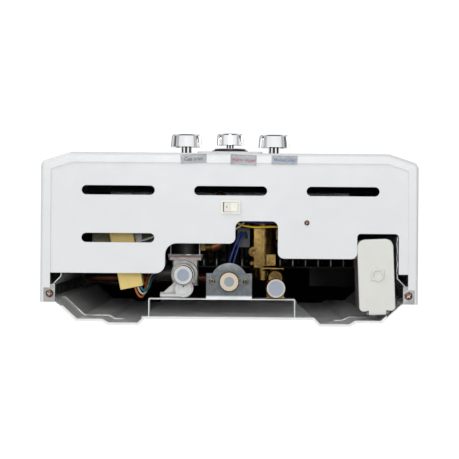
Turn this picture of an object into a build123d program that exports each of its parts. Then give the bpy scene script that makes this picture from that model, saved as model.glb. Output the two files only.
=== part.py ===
from build123d import *
import math
import os

# A wall-hung, portable gas water heater, in millimetres, +Z up, its front facing -Y.
# The origin is the middle of the four wall holes, on the wall: X = 0 is the heater's middle plane.

# ---------------------------------------------------------------- driving dimensions

CASE_WIDTH = 420.0
CASE_HEIGHT = 640.0
COVER_DEPTH = 167.0
WALL_DEPTH = 192.0
SHEET = 1.0
FOLD_RADIUS = 3.4
CORNER_RUN = 33.0
FRONT_FLAT = CASE_WIDTH - 2 * CORNER_RUN
CORNER_DEPTH = 10.8
CORNER_RADIUS = 7.0
FRONT_BEND_RADIUS = 12.0
RETURN_FLANGE = 11.0
RETURN_FLANGE_DEPTH = 151.0
SHEET_GAP = 0.5
SEAT_GAP = 0.3
RUNNING_GAP = 0.06

# Bottom panel: the edge towards the wall, its notches and its vents
PANEL_DEPTH = 134.4
PANEL_RIGHT_DEPTH = 133.9
VALVE_NOTCH_LEFT = -71.3
VALVE_NOTCH_DEPTH = 100.8
BRASS_NOTCH_LEFT = 6.6
BRASS_NOTCH_RIGHT = 53.9
BRASS_NOTCH_DEPTH = 75.7
BURNER_EDGE_DEPTH = 117.0
BATTERY_NOTCH_DEPTH = 88.8
BATTERY_NOTCH_LEFT_GAP = 1.3
BATTERY_NOTCH_RIGHT_GAP = 4.9
NOTCH_RADIUS = 7.0
VALVE_NOTCH_CORNER = 12.7
VALVE_NOTCH_SHOULDER = 11.0
BATTERY_NOTCH_CORNER = 4.0
VENT_LENGTH = 81.0
VENT_WIDTH = 10.3
VENT_PITCH = 125.0
VENT_MIDDLE = 1.0
VENT_DEPTH = 42.0
REAR_VENT_DEPTH = 95.0

# Wall fixing
HOLE_SPACING_X = CASE_WIDTH - 185.0
HOLE_SPACING_Z = 520.0
WALL_HOLE_RADIUS = 3.5
RIB_WIDTH = 34.0
RIB_SLOPE = 7.0
PAN_DEPTH = 188.0
PAN_MIDDLE_DEPTH = 185.0
PAN_HALF_WIDTH = CASE_WIDTH / 2 - 40.0
SLANT_HALF_WIDTH = CASE_WIDTH / 2 - 17.0
PAN_FLANGE_DEPTH = 120.0
HEM_THICKNESS = 2.6
HEM_HEIGHT = 8.0
HEM_DEPTH = 171.0
HEM_END = 34.5
TAB_OUTER = CASE_WIDTH / 2 - 4.0
TAB_INNER = TAB_OUTER - 12.5
TAB_DEPTH = 147.0
TAB_SCREW_X = CASE_WIDTH / 2 - 10.5
TAB_SCREW_DEPTH = 157.5
TAB_HEAD_RADIUS = 4.3
TAB_SHANK_RADIUS = 2.0
TAB_HEAD_HEIGHT = 2.4
SCREW_LENGTH = 9.0
PANEL_SCREW_X = 86.0
PANEL_SCREW_DEPTH = 77.0
PANEL_HEAD_RADIUS = 2.9
PANEL_SHANK_RADIUS = 1.4
PANEL_HEAD_HEIGHT = 1.6

# Side rails
RAIL_INNER = CASE_WIDTH / 2 - 23.5
RAIL_FRONT_DEPTH = 92.0
RAIL_SLANT_DEPTH = 138.0
RAIL_SLANT = 10.0
RAIL_HEIGHT = 560.0
RAIL_NOTCH_PITCH = 14.7
RAIL_NOTCH_HEIGHT = 6.0

# Controls
KNOB_SPACING = 51.0
KNOB_HEIGHT = 100.0
KNOB_RADIUS = 18.2
KNOB_TOP_RADIUS = 17.0
KNOB_THICKNESS = 14.5
KNOB_STANDOFF = 10.6
SEASON_KNOB_RADIUS = 15.6
SEASON_KNOB_TOP_RADIUS = 15.0
SEASON_KNOB_THICKNESS = 13.0
SEASON_KNOB_STANDOFF = 13.1
HUB_RADIUS = 6.3
SEASON_HUB_RADIUS = 5.0
KNOB_WALL = 2.0
SHAFT_RADIUS = 3.0
GLAND_BORE_LENGTH = 14.0
ESCUTCHEON_RADIUS = 20.8
ESCUTCHEON_THICKNESS = 2.3
COLLAR_RADIUS = 18.4
COLLAR_THICKNESS = 2.2
FASCIA_WIDTH = 75.0
FASCIA_BOTTOM = 62.0
FASCIA_HEIGHT = 130.0
FASCIA_THICKNESS = 4.5
FASCIA_CORNER = 6.0
WINDOW_WIDTH = 48.0
WINDOW_HEIGHT = 26.0
WINDOW_BOTTOM = 148.0
WINDOW_THICKNESS = 1.5
SELECTOR_RADIUS = 14.0
SELECTOR_DEPTH = 18.0

# Power switch
SWITCH_X = 1.0
SWITCH_DEPTH = 60.0
BEZEL_LENGTH = 21.0
BEZEL_WIDTH = 15.0
BEZEL_THICKNESS = 2.0
SWITCH_BODY_LENGTH = 19.2
SWITCH_BODY_WIDTH = 12.9
SWITCH_BODY_HEIGHT = 15.0
SWITCH_WELL_LENGTH = 17.2
SWITCH_WELL_DEPTH = 8.0
ROCKER_LENGTH = 15.4
ROCKER_WIDTH = 10.4
ROCKER_TILT = 8.0
ROCKER_DEPTH = 6.0
TRUNNION_RADIUS = 1.2
TRUNNION_LENGTH = 0.8
TERMINAL_WIDTH = 4.8
TERMINAL_THICKNESS = 0.8
TERMINAL_LENGTH = 8.0
TERMINAL_SPACING = 10.0

# Battery compartment, for two D cells side by side, slightly askew
BATTERY_X = RAIL_INNER - 23.0
BATTERY_DEPTH = 134.5
BATTERY_SKEW = 2.4
DOOR_WIDTH = 40.0
BATTERY_NOTCH_LEFT = BATTERY_X - DOOR_WIDTH / 2 - BATTERY_NOTCH_LEFT_GAP
BATTERY_NOTCH_RIGHT = BATTERY_X + DOOR_WIDTH / 2 + BATTERY_NOTCH_RIGHT_GAP
DOOR_LENGTH = 80.0
DOOR_THICKNESS = 2.4
DOOR_OVERLAP = 1.0
DOOR_FRONT_RADIUS = 9.5
DOOR_REAR_RADIUS = 4.5
DOOR_RING_RADIUS = 6.8
DOOR_RING_WIDTH = 2.0
DOOR_RING_HEIGHT = 0.8
DOOR_RING_OFFSET = 1.5
SNAP_WIDTH = 12.0
SNAP_HEIGHT = 4.0
BATTERY_WALL = 1.6
BATTERY_BOX_HEIGHT = 72.0
BATTERY_LUG = 8.0
CONTACT_RADIUS = 9.0
CONTACT_THICKNESS = 0.6
HINGE_WIDTH = 19.0
HINGE_RADIUS = 2.4
HINGE_PIN_RADIUS = 1.0
HINGE_EAR = 2.5
HINGE_OFFSET = 2.0
HINGE_PIN_REACH = 1.8

# Water and gas connections: male G1/2 ends, seen from below on a slant
THREAD_RADIUS = 10.48
CONNECTOR_BORE = 7.0
CONNECTOR_WALL = 2.0
CONNECTOR_TIP = -6.0
CONNECTOR_LENGTH = 15.0
FITTING_NECK_TOP = 24.0
OUTLET_SHOULDER_RADIUS = 11.0
OUTLET_FLANGE_RADIUS = 13.0
OUTLET_FLANGE_THICKNESS = 3.5
OUTLET_NECK_LENGTH = 15.0
GAS_DEPTH = 136.0
OUTLET_DEPTH = 143.0
INLET_X = 52.0
INLET_DEPTH = 150.0
PLUG_FLANGE_RADIUS = 10.2
PLUG_FLANGE_THICKNESS = 1.2
PLUG_STEM_LENGTH = 8.0
PLUG_GAP = 0.08
GAS_PLUG_RECESS = 6.7
OUTLET_PLUG_RECESS = 5.5
INLET_PLUG_RECESS = 8.2

# Connection bracket
HAT_LEFT = -89.0
HAT_RIGHT = 73.0
HAT_DEPTH = 163.5
HAT_HEIGHT = 30.0
HAT_FOOT = 9.0
PLATE_LEVEL = 10.0
PLATE_THICKNESS = 1.5
PLATE_WIDTH = 51.0
PLATE_SHOULDER_DEPTH = 134.0
PLATE_ARCH_RADIUS = 20.5
PLATE_SCREW_SPACING = 38.0
PLATE_HEAD_RADIUS = 3.5
PLATE_HEAD_HEIGHT = 2.0
PLATE_SHANK_RADIUS = 1.8

# Gas valve
BONNET_RADIUS = 15.8
BONNET_FRONT = 60.0
BONNET_REAR = 114.0
BONNET_GLAND = 6.0
YOKE_WIDTH = 41.0
YOKE_SHEET = 1.2
YOKE_HEIGHT = 44.0
YOKE_ARM = 20.0
YOKE_ARM_LEVEL = 85.0
YOKE_ARM_HEIGHT = 10.0
GASKET_THICKNESS = 2.4
VALVE_PLATE_THICKNESS = 3.2
VALVE_BODY_REAR = 150.0
VALVE_BODY_WIDTH = 30.0
VALVE_NECK_RADIUS = 12.0
VALVE_NECK_TOP = 50.0
VALVE_BOSS_RADIUS = 10.0
VALVE_BOSS_DEPTH = 151.0
VALVE_BOSS_LEVEL = 15.0
VALVE_FOOT_LEFT = -77.0
VALVE_FOOT_DEPTH = 156.0
VALVE_FOOT_LEVEL = 18.0
VALVE_FOOT_HEIGHT = 20.0
GUSSET_DEPTH = 141.0
GUSSET_LEVEL = 26.0
SOLENOID_RADIUS = 9.0
SOLENOID_LENGTH = 18.0
SOLENOID_LEVEL = 88.0
GAS_PIPE_RADIUS = 6.0
GAS_PIPE_LEVEL = 104.0
GAS_PIPE_DEPTH = BONNET_REAR - (GAS_PIPE_RADIUS + 2 * SHEET) - SHEET
GAS_PIPE_START = 18.0
GAS_PIPE_X = -10.0
GAS_PIPE_BEND = 11.0
UNION_NUT_LENGTH = 5.0
FERRULE_RINGS = 3
FERRULE_PITCH = 2.7

# Water valve
BARREL_X = 38.5
BARREL_LEVEL = 62.0
BARREL_RADIUS = 15.0
BARREL_FRONT = 78.0
BARREL_REAR = 142.0
BARREL_RIB_LEFT = 28.0
BARREL_RIB_RIGHT = 37.0
BARREL_RIB_REAR = 128.0
BARREL_RIB_DROP = 4.0
PORT_X = 27.5
PORT_DEPTH = 110.0
PORT_RADIUS = 5.5
PORT_BORE = 2.6
PORT_LEVEL = 40.0
GLAND_RADIUS = 9.0
GLAND_FRONT = 60.0
GLAND_REAR = 96.0
PAD_LEFT = 42.2
PAD_RIGHT = 52.5
PAD_FRONT = 113.0
PAD_REAR = 125.5
PAD_LEVEL = 45.5
STUD_X = 34.0
STUD_DEPTH = 124.0
STUD_RADIUS = 3.4
STUD_LEVEL = 40.5
TEST_SCREW_X = 25.7
TEST_SCREW_DEPTH = 123.0
TEST_SCREW_RADIUS = 2.0
TEST_SCREW_LEVEL = 46.0
INLET_COLLAR_RADIUS = 9.6
INLET_COLLAR_DEPTH = 139.0
INLET_COLLAR_LEVEL = 26.0
BALANCE_TUBE_RADIUS = 2.7
BALANCE_TUBE_DEPTH = 129.0
RISER_DEPTH = 100.0
RISER_RADIUS = 9.0
RISER_TOP = 112.0
PIPE_SOCKET = 12.0
MICROSWITCH_WIDTH = 14.0
MICROSWITCH_LENGTH = 22.0
MICROSWITCH_HEIGHT = 10.0
MICROSWITCH_DEPTH = 94.0

# Water pipes
WATER_PIPE_RADIUS = 6.35
WATER_PIPE_WALL = 1.0
CHAMBER_HALF_WIDTH = CASE_WIDTH / 2 - 60.0
PIPE_RUN_X = CHAMBER_HALF_WIDTH + 18.0
PIPE_BEND = 14.0
COLD_RUN_LEVEL = 140.0
HOT_RUN_LEVEL = 145.0

# Burner
BLADE_PITCH = 15.3
BLADE_THICKNESS = 8.0
BLADE_HEIGHT = 78.0
BLADE_BOTTOM = 168.0
BLADE_TUBE_HEIGHT = 24.0
BLADE_HEAD_HEIGHT = 30.0
NOZZLE_LEVEL = 180.0
BURNER_FRONT = 60.0
BURNER_REAR = 129.0
BURNER_SHEET = 1.2
BLADE_COUNT = int(2 * (CHAMBER_HALF_WIDTH - BURNER_SHEET - SEAT_GAP) / BLADE_PITCH)
BURNER_FRAME_BOTTOM = 170.0
BURNER_FRAME_HEIGHT = 46.0
CHAMBER_HEIGHT = 150.0
EXCHANGER_HEIGHT = 44.0
FIN_COUNT = 23
FIN_THICKNESS = 1.2
RAIL_TUBE = 12.0
NOZZLE_RADIUS = 2.4
NOZZLE_HOLE_RADIUS = 3.6
GAS_RAIL_DEPTH = 46.0
ELECTRODE_RADIUS = 3.0
ELECTRODE_TIP_RADIUS = 1.0
ELECTRODE_SPACING = 46.0
ELECTRODE_LEVEL = 228.0
ELECTRODE_TAIL = 14.0
RETURN_BEND_RADIUS = 9.0
RETURN_BEND_DEPTH = 84.0
RETURN_BEND_REACH = CHAMBER_HALF_WIDTH + 14.0
BRACKET_DEPTH = 18.0

# Flue
COLLECTOR_HEIGHT = 190.0
COLLAR_LENGTH = 50.0
HOOD_HALF_WIDTH = 97.0
HOOD_FRONT = 92.0
HOOD_REAR = 132.0
HOOD_HEIGHT = 28.0
HOOD_SLOTS = 9
HOOD_SLOT_PITCH = 20.0
HOOD_SLOT_WIDTH = 12.0
HOOD_SLOT_HEIGHT = 9.0
HOOD_SLOT_LEVEL = 17.0
HOOD_SKIRT = 8.0

# Ignition controller
CONTROLLER_X = -116.0
CONTROLLER_DEPTH = 119.0
CONTROLLER_WIDTH = 26.0
CONTROLLER_LENGTH = 66.0
CONTROLLER_HEIGHT = 38.0
CONTROLLER_LEVEL = 26.0
CONTROLLER_TILT = 11.5
CONTROLLER_STRAP_WIDTH = 24.0
CONTROLLER_PLATE_FRONT = 84.0
CONTROLLER_PLATE_LEFT = RAIL_INNER - 29.5
CONTROLLER_PLATE_RIGHT = 86.0

# Carry handle
HANDLE_X = 139.0
HANDLE_END_X = 122.0
HANDLE_ROD_RADIUS = 4.0
HANDLE_REACH = 85.0
HANDLE_PIVOT_DEPTH = 140.0
HANDLE_BEND = 8.0
GRIP_RADIUS = 11.0
GRIP_LENGTH = 110.0
EAR_X = 126.0
EAR_THICKNESS = 3.0
EAR_BASE = 1.5
EAR_LENGTH = 20.0
EAR_WIDTH = 16.0

# Leads
LEAD_RADIUS = 1.1
LEAD_BOX_LEVEL = 30.0
LEAD_LEVEL = 33.0
LEAD_SPREAD = 6.0
LEAD_PITCH = 3.2
LEAD_GAP = 0.25


# ---------------------------------------------------------------- places

def across(depth):
    """Y of a point this far behind the front of the case."""
    return depth - WALL_DEPTH


def level(height):
    """Z of a point this far above the bottom of the case."""
    return height - CASE_HEIGHT / 2


def place(x, depth, height):
    """A point given by its side, its depth behind the front and its height above the bottom."""
    return (x, across(depth), level(height))


def floor_at(height):
    """A horizontal sketch plane this far above the bottom of the case."""
    return Plane.XY.offset(level(height))


def front_at(depth):
    """An upright sketch plane parallel to the front, facing forwards, this far behind it."""
    return Plane.XZ.offset(-across(depth))


HALF_WIDTH = CASE_WIDTH / 2
GAS_X = -KNOB_SPACING
WATER_KNOB_X = KNOB_SPACING
PANEL_INSET = FOLD_RADIUS + SHEET_GAP
PAN_FLANGE_X = HALF_WIDTH - SHEET - SHEET_GAP
BURNER_FRAME_FRONT = BURNER_FRONT - SEAT_GAP - BURNER_SHEET
BURNER_FRAME_REAR = BURNER_REAR + SEAT_GAP + BURNER_SHEET
BURNER_MIDDLE = (BURNER_FRONT + BURNER_REAR) / 2
CHAMBER_DEPTH = BURNER_FRAME_REAR - BURNER_FRAME_FRONT
CHAMBER_BOTTOM = BURNER_FRAME_BOTTOM + BURNER_FRAME_HEIGHT
EXCHANGER_BOTTOM = CHAMBER_BOTTOM + CHAMBER_HEIGHT
EXCHANGER_MIDDLE = EXCHANGER_BOTTOM + EXCHANGER_HEIGHT / 2
COLLECTOR_BOTTOM = EXCHANGER_BOTTOM + EXCHANGER_HEIGHT
HOOD_MIDDLE = (HOOD_FRONT + HOOD_REAR) / 2


# ---------------------------------------------------------------- case

with BuildSketch(floor_at(0)) as case_plan:
    with BuildLine():
        FilletPolyline(
            (-HALF_WIDTH, across(COVER_DEPTH)),
            (-HALF_WIDTH, across(CORNER_DEPTH)),
            (-FRONT_FLAT / 2, across(0)),
            (FRONT_FLAT / 2, across(0)),
            (HALF_WIDTH, across(CORNER_DEPTH)),
            (HALF_WIDTH, across(COVER_DEPTH)),
            (-HALF_WIDTH, across(COVER_DEPTH)),
            radius=(0, CORNER_RADIUS, FRONT_BEND_RADIUS, FRONT_BEND_RADIUS, CORNER_RADIUS, 0),
            close=True,
        )
    make_face()

with BuildPart() as front_cover:
    add(case_plan.sketch)
    extrude(amount=CASE_HEIGHT)
    rear_face = front_cover.faces().sort_by(Axis.Y)[-1]
    rims = front_cover.edges().group_by(Axis.Z)[0] + front_cover.edges().group_by(Axis.Z)[-1]
    fillet(rims - rear_face.edges(), FOLD_RADIUS)
    offset(amount=-SHEET, openings=front_cover.faces().sort_by(Axis.Y)[-1])
    # The bottom is folded in to a narrow flange, open towards the wall
    with BuildSketch(floor_at(0)):
        add(case_plan.sketch)
        offset(amount=-RETURN_FLANGE)
        with Locations((0, across(COVER_DEPTH))):
            Rectangle(CASE_WIDTH - 2 * RETURN_FLANGE, 4 * RETURN_FLANGE)
        with Locations((0, across(COVER_DEPTH))):
            Rectangle(
                CASE_WIDTH - 2 * (FOLD_RADIUS + SHEET_GAP),
                2 * (COVER_DEPTH - RETURN_FLANGE_DEPTH),
            )
    extrude(amount=2 * SHEET, mode=Mode.SUBTRACT)
    # The top is cut out round the flue, as far as the rear edge
    with BuildSketch(floor_at(CASE_HEIGHT)):
        with Locations((0, across(COVER_DEPTH))):
            Rectangle(2 * (HOOD_HALF_WIDTH - SHEET), 2 * (COVER_DEPTH - HOOD_FRONT))
    extrude(amount=-2 * SHEET, mode=Mode.SUBTRACT)
    # The knob shafts come through the front
    with BuildSketch(front_at(0)):
        with Locations((0, level(KNOB_HEIGHT))):
            with GridLocations(KNOB_SPACING, 0, 3, 1):
                Circle(SHAFT_RADIUS + SHEET)
    extrude(amount=-2 * SHEET, mode=Mode.SUBTRACT)

with BuildPart() as bottom_panel:
    with BuildSketch(floor_at(SHEET)):
        add(case_plan.sketch.moved(Location((0, 0, SHEET))))
        offset(amount=-PANEL_INSET)
        with BuildLine():
            FilletPolyline(
                (-CASE_WIDTH, across(PANEL_DEPTH)),
                (VALVE_NOTCH_LEFT, across(PANEL_DEPTH)),
                (VALVE_NOTCH_LEFT, across(VALVE_NOTCH_DEPTH)),
                (BRASS_NOTCH_LEFT, across(VALVE_NOTCH_DEPTH)),
                (BRASS_NOTCH_LEFT, across(BRASS_NOTCH_DEPTH)),
                (BRASS_NOTCH_RIGHT, across(BRASS_NOTCH_DEPTH)),
                (BRASS_NOTCH_RIGHT, across(BURNER_EDGE_DEPTH)),
                (BATTERY_NOTCH_LEFT, across(BURNER_EDGE_DEPTH)),
                (BATTERY_NOTCH_LEFT, across(BATTERY_NOTCH_DEPTH)),
                (BATTERY_NOTCH_RIGHT, across(BATTERY_NOTCH_DEPTH)),
                (BATTERY_NOTCH_RIGHT, across(PANEL_RIGHT_DEPTH)),
                (CASE_WIDTH, across(PANEL_RIGHT_DEPTH)),
                (CASE_WIDTH, across(2 * WALL_DEPTH)),
                (-CASE_WIDTH, across(2 * WALL_DEPTH)),
                radius=(
                    0,
                    VALVE_NOTCH_SHOULDER,
                    VALVE_NOTCH_CORNER,
                    NOTCH_RADIUS,
                    NOTCH_RADIUS,
                    NOTCH_RADIUS,
                    NOTCH_RADIUS,
                    NOTCH_RADIUS,
                    BATTERY_NOTCH_CORNER,
                    BATTERY_NOTCH_CORNER,
                    SHEET,
                    0,
                    0,
                    0,
                ),
                close=True,
            )
        make_face(mode=Mode.SUBTRACT)
        with Locations((VENT_MIDDLE, across(VENT_DEPTH))):
            with GridLocations(VENT_PITCH, 0, 3, 1):
                SlotOverall(VENT_LENGTH, VENT_WIDTH, mode=Mode.SUBTRACT)
        with Locations((VENT_MIDDLE - VENT_PITCH, across(REAR_VENT_DEPTH))):
            SlotOverall(VENT_LENGTH, VENT_WIDTH, mode=Mode.SUBTRACT)
        with Locations((SWITCH_X, across(SWITCH_DEPTH))):
            Rectangle(SWITCH_BODY_LENGTH, SWITCH_BODY_WIDTH, mode=Mode.SUBTRACT)
        with Locations((PANEL_SCREW_X, across(PANEL_SCREW_DEPTH))):
            Circle(PANEL_SHANK_RADIUS, mode=Mode.SUBTRACT)
    extrude(amount=SHEET)
    chamfer(bottom_panel.faces().sort_by(Axis.Z)[0].edges(), SHEET / 3)

# Back pan: folded sheet with two upright ribs that stand on the wall
RIB_MIDDLE = HOLE_SPACING_X / 2
RIB_OUTER_FOOT = RIB_MIDDLE + RIB_WIDTH / 2 + RIB_SLOPE
RIB_INNER_FOOT = RIB_MIDDLE - RIB_WIDTH / 2 - RIB_SLOPE
PAN_HEIGHT = CASE_HEIGHT - SHEET
pan_half = [
    (PAN_FLANGE_X, across(PAN_FLANGE_DEPTH)),
    (PAN_FLANGE_X, across(COVER_DEPTH)),
    (SLANT_HALF_WIDTH, across(COVER_DEPTH)),
    (PAN_HALF_WIDTH, across(PAN_DEPTH)),
    (RIB_OUTER_FOOT, across(PAN_DEPTH)),
    (RIB_OUTER_FOOT - RIB_SLOPE, across(WALL_DEPTH)),
    (RIB_INNER_FOOT + RIB_SLOPE, across(WALL_DEPTH)),
    (RIB_INNER_FOOT, across(PAN_MIDDLE_DEPTH)),
]
pan_line = [(-x, y) for x, y in pan_half] + pan_half[::-1]

with BuildPart() as back_panel:
    with BuildSketch(floor_at(SHEET)):
        with BuildLine():
            FilletPolyline(*pan_line, radius=2 * SHEET)
            offset(amount=SHEET, side=Side.RIGHT)
        make_face()
    extrude(amount=PAN_HEIGHT - SHEET)
    # The outer flanges stop short of the cover's folds
    for height in (SHEET, PAN_HEIGHT - FOLD_RADIUS + SHEET / 2):
        with BuildSketch(floor_at(height)):
            with GridLocations(2 * PAN_FLANGE_X, 0, 2, 1):
                Rectangle(2 * (PAN_FLANGE_X - TAB_OUTER), 2 * WALL_DEPTH)
        extrude(amount=FOLD_RADIUS - SHEET / 2, mode=Mode.SUBTRACT)
    # The flange under the top of the case, with the flue's opening
    with BuildSketch(floor_at(PAN_HEIGHT - SHEET)):
        with BuildLine():
            Polyline(*pan_line[2:-2], close=True)
        make_face()
        with Locations((0, across(COVER_DEPTH))):
            Rectangle(
                2 * RIB_MIDDLE,
                COVER_DEPTH - HOOD_FRONT + 2 * SHEET,
                align=(Align.CENTER, Align.MAX),
            )
        with Locations((0, across(HOOD_MIDDLE))):
            Rectangle(
                2 * (HOOD_HALF_WIDTH - SHEET),
                HOOD_REAR - HOOD_FRONT - 2 * SHEET,
                mode=Mode.SUBTRACT,
            )
    extrude(amount=SHEET)
    # The lower edge is folded back inside to a hem, cut short beside the door's hinge
    with BuildSketch(floor_at(SHEET)):
        with BuildLine():
            Polyline(*pan_line[2:-2])
            offset(amount=HEM_THICKNESS, side=Side.RIGHT, kind=Kind.INTERSECTION)
        make_face()
        with Locations((0, across(HEM_DEPTH))):
            Rectangle(
                CASE_WIDTH,
                HEM_DEPTH,
                align=(Align.CENTER, Align.MAX),
                mode=Mode.SUBTRACT,
            )
        with Locations((HALF_WIDTH - HEM_END, across(WALL_DEPTH))):
            Rectangle(HEM_END, WALL_DEPTH, align=(Align.MIN, Align.MAX), mode=Mode.SUBTRACT)
    extrude(amount=HEM_HEIGHT)
    # A tab with a screw at each lower corner
    with BuildSketch(floor_at(SHEET)):
        for side in (-1, 1):
            with Locations((
                side * (TAB_INNER + TAB_OUTER) / 2,
                across((TAB_DEPTH + COVER_DEPTH) / 2),
            )):
                RectangleRounded(TAB_OUTER - TAB_INNER, COVER_DEPTH - TAB_DEPTH, SHEET)
        with Locations((0, across(TAB_SCREW_DEPTH))):
            with GridLocations(2 * TAB_SCREW_X, 0, 2, 1):
                Circle(TAB_SHANK_RADIUS, mode=Mode.SUBTRACT)
    extrude(amount=SHEET)
    # Four wall holes, through the ribs
    with BuildSketch(front_at(WALL_DEPTH)):
        with GridLocations(HOLE_SPACING_X, HOLE_SPACING_Z, 2, 2):
            Circle(WALL_HOLE_RADIUS)
    extrude(amount=2 * SHEET, mode=Mode.SUBTRACT)


# ---------------------------------------------------------------- shapes that repeat

def screws(points, seat, head_radius, head_height, shank_radius, length):
    """Cross-head screws that point up, their heads under a surface at the height of the seat."""
    with BuildPart() as group:
        with BuildSketch(floor_at(seat)):
            with Locations(*points):
                Circle(head_radius)
        extrude(amount=-head_height)
        chamfer(group.edges().group_by(Axis.Z)[0], head_height / 3)
        with BuildSketch(floor_at(seat - head_height)):
            with Locations(*points):
                Rectangle(1.2 * head_radius, 0.25 * head_radius)
                Rectangle(0.25 * head_radius, 1.2 * head_radius)
        extrude(amount=head_height / 2, mode=Mode.SUBTRACT)
        with BuildSketch(floor_at(seat)):
            with Locations(*points):
                Circle(shank_radius)
        extrude(amount=length)
    return group


def bent_tube(points, radius, bend, wall=0):
    """A round tube through the given points, or a rod where it has no wall, with its bends as arcs."""
    with BuildPart() as tube:
        with BuildLine() as route:
            FilletPolyline(*points, radius=bend)
        with BuildSketch(Plane(origin=route.line @ 0, z_dir=route.line % 0)):
            Circle(radius)
            if wall:
                Circle(radius - wall, mode=Mode.SUBTRACT)
        sweep()
    return tube


def knob(x, radius, top_radius, thickness, standoff, hub_radius, hub_end):
    """A hollow knob: tapered skirt, cap and hub in one piece, bored for its shaft, with a pointer line."""
    front = -(standoff + thickness)
    cap = front + KNOB_WALL
    with BuildPart() as piece:
        with BuildSketch(Plane(origin=place(x, 0, KNOB_HEIGHT), x_dir=(1, 0, 0), z_dir=(0, 0, 1))):
            with BuildLine():
                FilletPolyline(
                    (0, front),
                    (top_radius, front),
                    (radius, -standoff),
                    (radius - KNOB_WALL, -standoff),
                    (top_radius - KNOB_WALL, cap),
                    (hub_radius, cap),
                    (hub_radius, hub_end),
                    (SHAFT_RADIUS, hub_end),
                    (SHAFT_RADIUS, cap + KNOB_WALL),
                    (0, cap + KNOB_WALL),
                    radius=(0, KNOB_WALL * 0.8, 0, 0, 0, 0, 0, 0, 0, 0),
                    close=True,
                )
            make_face()
        revolve(axis=Axis(place(x, 0, KNOB_HEIGHT), (0, 1, 0)))
        with BuildSketch(front_at(front)):
            with Locations((x, level(KNOB_HEIGHT) + 0.6 * top_radius)):
                SlotOverall(0.6 * top_radius, KNOB_WALL * 0.7, rotation=90)
        extrude(amount=-KNOB_WALL * 0.3, mode=Mode.SUBTRACT)
    return piece


def shaft(x, front, rear):
    """A round shaft that runs from the knob back to what it turns."""
    with BuildPart() as piece:
        with BuildSketch(front_at(front)):
            with Locations((x, level(KNOB_HEIGHT))):
                Circle(SHAFT_RADIUS)
        extrude(amount=front - rear)
    return piece


def threaded_end(x, depth, neck_top):
    """A male connection that points down, with a neck that fits up into its casting."""
    with BuildPart() as piece:
        with BuildSketch(floor_at(CONNECTOR_TIP)):
            with Locations((x, across(depth))):
                Circle(THREAD_RADIUS)
        extrude(amount=CONNECTOR_LENGTH)
        chamfer(piece.edges().group_by(Axis.Z)[0], SHEET / 2)
        with BuildSketch(floor_at(CONNECTOR_TIP + CONNECTOR_LENGTH)):
            with Locations((x, across(depth))):
                Circle(CONNECTOR_BORE + CONNECTOR_WALL)
        extrude(amount=neck_top - CONNECTOR_TIP - CONNECTOR_LENGTH)
        with BuildSketch(floor_at(CONNECTOR_TIP)):
            with Locations((x, across(depth))):
                Circle(CONNECTOR_BORE)
        extrude(amount=neck_top - CONNECTOR_TIP, mode=Mode.SUBTRACT)
    return piece


def dust_plug(x, depth, recess_radius):
    """A push-in plug that keeps dirt out of a connection: a rimmed flange on a hollow stem."""
    flange = CONNECTOR_TIP - SEAT_GAP - PLUG_FLANGE_THICKNESS
    with BuildPart() as piece:
        with BuildSketch(floor_at(flange)):
            with Locations((x, across(depth))):
                Circle(PLUG_FLANGE_RADIUS)
        extrude(amount=PLUG_FLANGE_THICKNESS)
        fillet(piece.edges().group_by(Axis.Z)[0], PLUG_FLANGE_THICKNESS / 3)
        with BuildSketch(floor_at(flange)):
            with Locations((x, across(depth))):
                Circle(recess_radius)
        extrude(amount=PLUG_FLANGE_THICKNESS / 2, mode=Mode.SUBTRACT)
        with BuildSketch(floor_at(flange + PLUG_FLANGE_THICKNESS)):
            with Locations((x, across(depth))):
                Circle(CONNECTOR_BORE - PLUG_GAP)
        extrude(amount=PLUG_STEM_LENGTH)
        with BuildSketch(floor_at(flange + PLUG_FLANGE_THICKNESS + PLUG_STEM_LENGTH)):
            with Locations((x, across(depth))):
                Circle(CONNECTOR_BORE - PLUG_GAP - SHEET)
        extrude(amount=-PLUG_STEM_LENGTH, mode=Mode.SUBTRACT)
    return piece


def upright_ring(half_width, front, rear, bottom, height, wall, holes, hole_radius):
    """A rectangular sleeve of sheet, open at its top and bottom, with holes in its front."""
    with BuildPart() as sleeve:
        with BuildSketch(floor_at(bottom)):
            with Locations((0, across((front + rear) / 2))):
                Rectangle(2 * half_width, rear - front)
                Rectangle(2 * (half_width - wall), rear - front - 2 * wall, mode=Mode.SUBTRACT)
        extrude(amount=height)
        with BuildSketch(front_at(front)):
            with Locations(*holes):
                Circle(hole_radius)
        extrude(amount=-wall, mode=Mode.SUBTRACT)
    return sleeve


# ---------------------------------------------------------------- case screws and side rails

with BuildPart() as case_screws:
    tab_points = [(side * TAB_SCREW_X, across(TAB_SCREW_DEPTH)) for side in (-1, 1)]
    panel_points = [(PANEL_SCREW_X, across(PANEL_SCREW_DEPTH))]
    add(screws(tab_points, SHEET, TAB_HEAD_RADIUS, TAB_HEAD_HEIGHT, TAB_SHANK_RADIUS, SCREW_LENGTH).part)
    add(screws(
        panel_points, SHEET, PANEL_HEAD_RADIUS, PANEL_HEAD_HEIGHT, PANEL_SHANK_RADIUS, SCREW_LENGTH
    ).part)

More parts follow.
